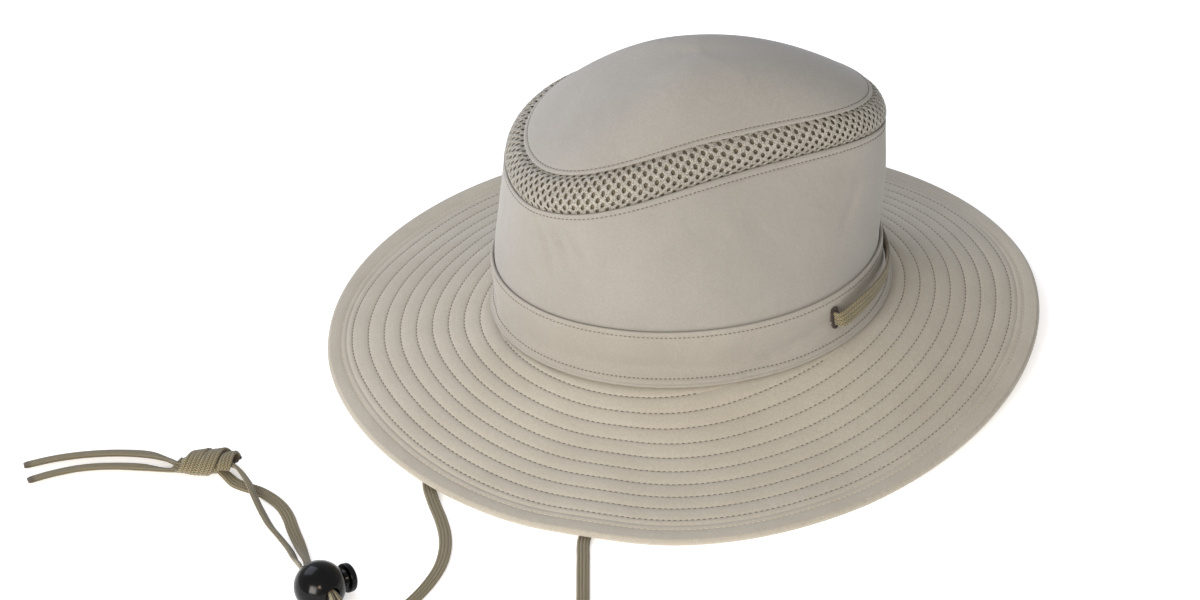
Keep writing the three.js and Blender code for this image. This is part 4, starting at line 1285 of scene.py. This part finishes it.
def net_rows(angle, count, behind=0.0):
    """Rows of the net's skin from its lower lap to its upper one, smooth and evenly spaced."""
    size = angle.shape
    knots = np.array([
        surface(angle, np.full(size, share), np.full(size, depth + behind))
        for surface, share, depth in net_stations
    ])
    padded = np.concatenate([2 * knots[:1] - knots[1:2], knots, 2 * knots[-1:] - knots[-2:-1]])
    fine = []
    for i in range(len(knots) - 1):
        p0, p1, p2, p3 = padded[i:i + 4]
        for t in np.linspace(0, 1, 8, endpoint=False):
            fine.append(0.5 * (
                2 * p1 + (p2 - p0) * t + (2 * p0 - 5 * p1 + 4 * p2 - p3) * t ** 2
                + (3 * p1 - p0 - 3 * p2 + p3) * t ** 3
            ))
    fine.append(knots[-1])
    fine = np.array(fine)
    reached = walked(fine)
    reached /= reached[-1]
    even = np.linspace(0, 1, count)
    rows = np.empty((count,) + fine.shape[1:])
    for column in range(size[0]):
        for axis in range(3):
            rows[:, column, axis] = np.interp(even, reached[:, column], fine[:, column, axis])
    return rows


net_columns = 291
skin_count = 25
net_angles = np.linspace(0, 2 * np.pi, net_columns + 1)
skin_rows = net_rows(net_angles, skin_count)
skin_uv = np.stack(np.broadcast_arrays(
    np.linspace(0, 1, net_columns + 1)[None, :], np.linspace(0, 1, skin_count)[:, None],
), axis=-1)
net_skin = grid_mesh("net_skin", skin_rows, False, "open", skin_uv)
shade_sheet_front, shade_sheet_back = (net_rows(crown_angles, 13, behind) for behind in (1.0, 1.5))
shade_sheet_rows = [*shade_sheet_front, *shade_sheet_back[::-1]]
net_lining = add_object("net_lining", grid_mesh("net_lining", shade_sheet_rows, True, "ring"))
point_outwards(net_lining)
# Painted shade: a dull dark sheet behind the net that stands for the shade inside the hat, seen through
# the net's holes.
shade_sheet_material = fibrous("dark_tricot_lining", "#756d5c", "#5e5647", 0.9, 1800.0)
net_lining.data.materials.append(shade_sheet_material)
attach(net_lining, "hat")

# One mesh of the net: an oval hole in a diamond of yarn that stands up between the holes. Its
# corners are shared by the next ones. x and y are in cells, z is in millimetres.
hole_half_width = 0.178
hole_half_height = 0.24
yarn_height = 0.42
yarn_foot = -0.4
net_around = 97
net_deep = 11
tile_points = 16
turns = np.arange(tile_points) / tile_points * 2 * np.pi
reach = 0.5 / (np.abs(np.cos(turns)) + np.abs(np.sin(turns)))
diamond = np.stack([reach * np.cos(turns), reach * np.sin(turns)], axis=-1)
oval = np.stack([hole_half_width * np.cos(turns), hole_half_height * np.sin(turns)], axis=-1)
tile_rows = []
for share, height in [
    # share of the way from the diamond to the hole's edge, height
    (0.0, yarn_height), (0.5, yarn_height), (0.84, yarn_height * 0.78), (1.0, 0.05), (0.94, yarn_foot),
]:
    ring = diamond * (1 - share) + oval * share
    crossing = 0.05 * np.cos(turns * 4) * (1 - share)
    level = np.full(tile_points, height)
    tile_rows.append(np.column_stack([ring, level + crossing if share < 0.9 else level]))
tile_rows.append(np.column_stack([diamond, np.full(tile_points, yarn_foot)]))
net_tile = add_object("net_tile", grid_mesh("net_tile", np.array(tile_rows) * 1000, True, "open"))

net_tree, group_in, group_out = new_tree("knitted_net", Tile="Object", Around="Int", Rows="Int")
cells_around, cells_deep = group_in.outputs["Around"], group_in.outputs["Rows"]
cells = add_node(net_tree, "ShaderNodeMath", {0: cells_around, 1: cells_deep}, operation="MULTIPLY")
index = add_node(net_tree, "GeometryNodeInputIndex").outputs[0]
column = add_node(net_tree, "ShaderNodeMath", {0: index, 1: cells_around}, operation="MODULO")
row_share = add_node(net_tree, "ShaderNodeMath", {0: index, 1: cells_around}, operation="DIVIDE")
row = add_node(net_tree, "ShaderNodeMath", {0: row_share.outputs[0]}, operation="FLOOR")
odd = add_node(net_tree, "ShaderNodeMath", {0: row.outputs[0], 1: 2.0}, operation="MODULO")
shift = add_node(net_tree, "ShaderNodeMath", {0: odd.outputs[0], 1: 0.5}, operation="MULTIPLY")
cell_x = add_node(
    net_tree, "ShaderNodeMath", {0: column.outputs[0], 1: shift.outputs[0]}, operation="ADD",
)
cell_y = add_node(net_tree, "ShaderNodeMath", {0: row.outputs[0], 1: 0.5}, operation="MULTIPLY")
cell_place = add_node(
    net_tree, "ShaderNodeCombineXYZ", {"X": cell_x.outputs[0], "Y": cell_y.outputs[0]},
)
cell_points = add_node(
    net_tree, "GeometryNodePoints", {"Count": cells.outputs[0], "Position": cell_place.outputs[0]},
)
tile_info = add_node(net_tree, "GeometryNodeObjectInfo", {"Object": group_in.outputs["Tile"]})
tiled = add_node(net_tree, "GeometryNodeInstanceOnPoints", {
    "Points": cell_points.outputs[0], "Instance": tile_info.outputs["Geometry"],
})
flat_net = add_node(net_tree, "GeometryNodeRealizeInstances", {"Geometry": tiled.outputs[0]})
flat_place = add_node(net_tree, "GeometryNodeInputPosition")
flat_split = add_node(net_tree, "ShaderNodeSeparateXYZ", {0: flat_place.outputs[0]})
u_share = add_node(
    net_tree, "ShaderNodeMath", {0: flat_split.outputs["X"], 1: cells_around}, operation="DIVIDE",
)
u_wrapped = add_node(
    net_tree, "ShaderNodeMath", {0: u_share.outputs[0], 1: 1.0, 2: 0.0}, operation="WRAP",
)
half_rows = add_node(net_tree, "ShaderNodeMath", {0: cells_deep, 1: 0.5}, operation="MULTIPLY")
v_moved = add_node(net_tree, "ShaderNodeMath", {0: flat_split.outputs["Y"], 1: 0.25}, operation="ADD")
v_share = add_node(
    net_tree, "ShaderNodeMath", {0: v_moved.outputs[0], 1: half_rows.outputs[0]},
    operation="DIVIDE", use_clamp=True,
)
sample_at = add_node(
    net_tree, "ShaderNodeCombineXYZ", {"X": u_wrapped.outputs[0], "Y": v_share.outputs[0]},
)
skin_uv_map = add_node(
    net_tree, "GeometryNodeInputNamedAttribute", {"Name": "UVMap"}, data_type="FLOAT_VECTOR",
)
skin_place = add_node(net_tree, "GeometryNodeInputPosition")
skin_normal = add_node(net_tree, "GeometryNodeInputNormal")
sampled_place, sampled_normal = (
    add_node(net_tree, "GeometryNodeSampleUVSurface", {
        "Mesh": group_in.outputs["Geometry"], "Value": value,
        "UV Map": skin_uv_map.outputs["Attribute"], "Sample UV": sample_at.outputs[0],
    }, data_type="FLOAT_VECTOR").outputs["Value"]
    for value in (skin_place.outputs[0], skin_normal.outputs[0])
)
metres_a_millimetre = 0.001
proud = add_node(
    net_tree, "ShaderNodeMath",
    {0: flat_split.outputs["Z"], 1: metres_a_millimetre}, operation="MULTIPLY",
)
lifted = add_node(
    net_tree, "ShaderNodeVectorMath",
    {0: sampled_normal, "Scale": proud.outputs[0]}, operation="SCALE",
)
worn_place = add_node(
    net_tree, "ShaderNodeVectorMath", {0: sampled_place, 1: lifted.outputs[0]}, operation="ADD",
)
worn_net = add_node(net_tree, "GeometryNodeSetPosition", {
    "Geometry": flat_net.outputs[0], "Position": worn_place.outputs[0],
})
welded = add_node(
    net_tree, "GeometryNodeMergeByDistance", {"Geometry": worn_net.outputs[0], "Distance": 0.00003},
)

# Knitted polyester monofilament: light greige, each strand a little glossy. Its fine speckle of light and
# dark points between the holes is painted glints and shade of the strands.
net_material, tree, shader = new_material("knitted_polyester_net", "#b5ae9e", 0.5)
place = add_node(tree, "ShaderNodeTexCoord").outputs["Object"]
strand_noise = add_node(tree, "ShaderNodeTexNoise", {"Vector": place, "Scale": 2100.0, "Detail": 3.0})
strand_painted_glints = add_node(tree, "ShaderNodeValToRGB", {"Fac": strand_noise.outputs["Fac"]})
for stop, (at, tone) in zip(strand_painted_glints.color_ramp.elements, ((0.36, "#5e594f"), (0.62, "#a8a59b"))):
    stop.position = at
    stop.color = colour(tone)
tree.links.new(strand_painted_glints.outputs[0], shader.inputs["Base Color"])
strand_bump = add_node(
    tree, "ShaderNodeBump", {"Strength": 0.8, "Distance": 0.0003, "Height": strand_noise.outputs["Fac"]},
)
tree.links.new(strand_bump.outputs[0], shader.inputs["Normal"])
end_tree(net_tree, group_out, welded.outputs[0], net_material)
net_band = grown("ventilation_net", net_tree, net_skin, Tile=net_tile, Around=net_around, Rows=net_deep)
bpy.data.objects.remove(net_tile)
net_band.data.shade_smooth()
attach(net_band, "hat")
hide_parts("mesh_band")


# The top of the crown is one domed piece of the same cloth, cut as a teardrop. Its edge is turned
# in and topstitched over the net.
panel_stitch = 2.4
panel_wall = 1.2
speed_step = 0.02


def panel_speed(angle):
    """How fast the dome's surface leaves its edge, in millimetres for a whole share."""
    size = angle.shape
    step = panel_form(angle, np.full(size, speed_step)) - panel_form(angle, np.zeros(size))
    return np.linalg.norm(step, axis=-1) / speed_step


def on_panel(from_edge, depth):
    """A row of the top at a distance from its edge in millimetres, along the dome."""
    return panel_point(crown_angles, from_edge / panel_speed(crown_angles), around(depth))


top_rows = [
    panel_point(crown_angles, around(share), around(0.0))
    for share in [0.993, 0.97, 0.93, *np.linspace(0.88, 0.08, 34)]
]
top_rows += [on_panel(from_edge, depth) for from_edge, depth in [
    (4.2, 0.0), (3.2, 0.0), (panel_stitch + 0.35, 0.08), (panel_stitch + 0.1, 0.34),
    (panel_stitch - 0.1, 0.34), (panel_stitch - 0.4, 0.02), (1.5, -0.2), (0.8, -0.2), (0.3, -0.1),
    (0.0, 0.15), (-0.1, 0.5), (0.05, 0.95), (0.5, panel_wall),
]]
top_rows += [
    panel_point(crown_angles, around(share), around(panel_wall))
    for share in [*np.linspace(0.06, 0.9, 14), 0.96, 0.992]
]
top_panel = add_object("crown_top", grid_mesh("crown_top", top_rows, True, "capped"))
point_outwards(top_panel)
top_panel.data.materials.append(crown_cloth_painted_shade)
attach(top_panel, "hat")
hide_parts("top_panel")


def loop_on(surface, share, depth):
    size = len(fine_angles)
    return surface(fine_angles, share * np.ones(size), np.full(size, depth)), True


# These rows use the same thread, whose dark colour is painted groove shade.
seam("crown_stitches", [
    loop_on(side_point, side_seam, 0.16),
    loop_on(panel_point, panel_stitch / panel_speed(fine_angles), 0.25),
    loop_on(band_point, band_share(band_top_seam), 0.08),
    loop_on(band_point, band_share(band_foot_seam), -0.5),
], pitch=2.2, length=1.2, width=0.6)


# Each slit is a worked buttonhole: its cut edge is bound with close overcast stitches of dark
# thread, which stand up as a ridge round the hole.
overcast_turns = 38
points_a_turn = 8
overcast_width = 0.5
coil_across = 0.55
coil_middle = 0.45
coil_high = 0.5
half_turn = slit_width / 2 + 0.15
straight = slit_height - slit_width
bend_length = np.pi * half_turn
thread_tree, group_in, group_out = new_tree("laid_thread", Thread_width="Float")
thread_line = add_node(thread_tree, "GeometryNodeMeshToCurve", {"Mesh": group_in.outputs["Geometry"]})
half_width = add_node(
    thread_tree, "ShaderNodeMath", {0: group_in.outputs["Thread width"], 1: 0.5}, operation="MULTIPLY",
)
thread_section = add_node(
    thread_tree, "GeometryNodeCurvePrimitiveCircle", {"Resolution": 6, "Radius": half_width.outputs[0]},
)
laid_thread = add_node(
    thread_tree, "GeometryNodeCurveToMesh",
    {"Curve": thread_line.outputs[0], "Profile Curve": thread_section.outputs["Curve"]},
)
# Waxed buttonhole thread: nearly black brown, a little smoother than the quilting's.
overcast_material = fibrous("dark_buttonhole_thread", "#443934", "#2f2723", 0.7, 3000.0, Sheen_Weight=0.1)
end_tree(thread_tree, group_out, laid_thread.outputs[0], overcast_material)
for side, (x_way, y_way, z_way, origin) in zip(("right", "left"), slit_frames):
    steps = overcast_turns * points_a_turn
    walk = np.linspace(0, 1, steps, endpoint=False)
    at = walk * (2 * straight + 2 * bend_length)
    # Up the first side, round the top, down the second side and round the foot.
    parts = [at < straight, at < straight + bend_length, at < 2 * straight + bend_length]
    round_top = at - straight
    round_foot = at - 2 * straight - bend_length
    bend = np.select(
        parts, [0 * at, round_top / half_turn, np.pi + 0 * at], np.pi + round_foot / half_turn,
    )
    up_side = np.select(
        parts, [at - straight / 2, straight / 2 + 0 * at, straight / 2 - (round_top - bend_length)],
        -straight / 2 + 0 * at,
    )
    outward = np.stack([np.cos(bend), np.sin(bend)], axis=-1)
    centre = outward * half_turn + np.stack([0 * at, up_side], axis=-1)
    coil = walk * overcast_turns * 2 * np.pi
    flat = centre + outward * (coil_across * np.cos(coil))[:, None]
    height = coil_middle + coil_high * np.sin(coil)
    thread_points = origin + flat[:, :1] * x_way + flat[:, 1:] * y_way + height[:, None] * z_way
    thread_path = bpy.data.meshes.new("overcast_path")
    thread_path.from_pydata(
        (thread_points / 1000).tolist(), [(i, (i + 1) % steps) for i in range(steps)], [],
    )
    edge = grown(
        "buttonhole_edge_" + side, thread_tree, thread_path, Thread_width=overcast_width / 1000,
    )
    edge.data.shade_smooth()
    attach(edge, "hat")
    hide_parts("buttonhole_" + side)
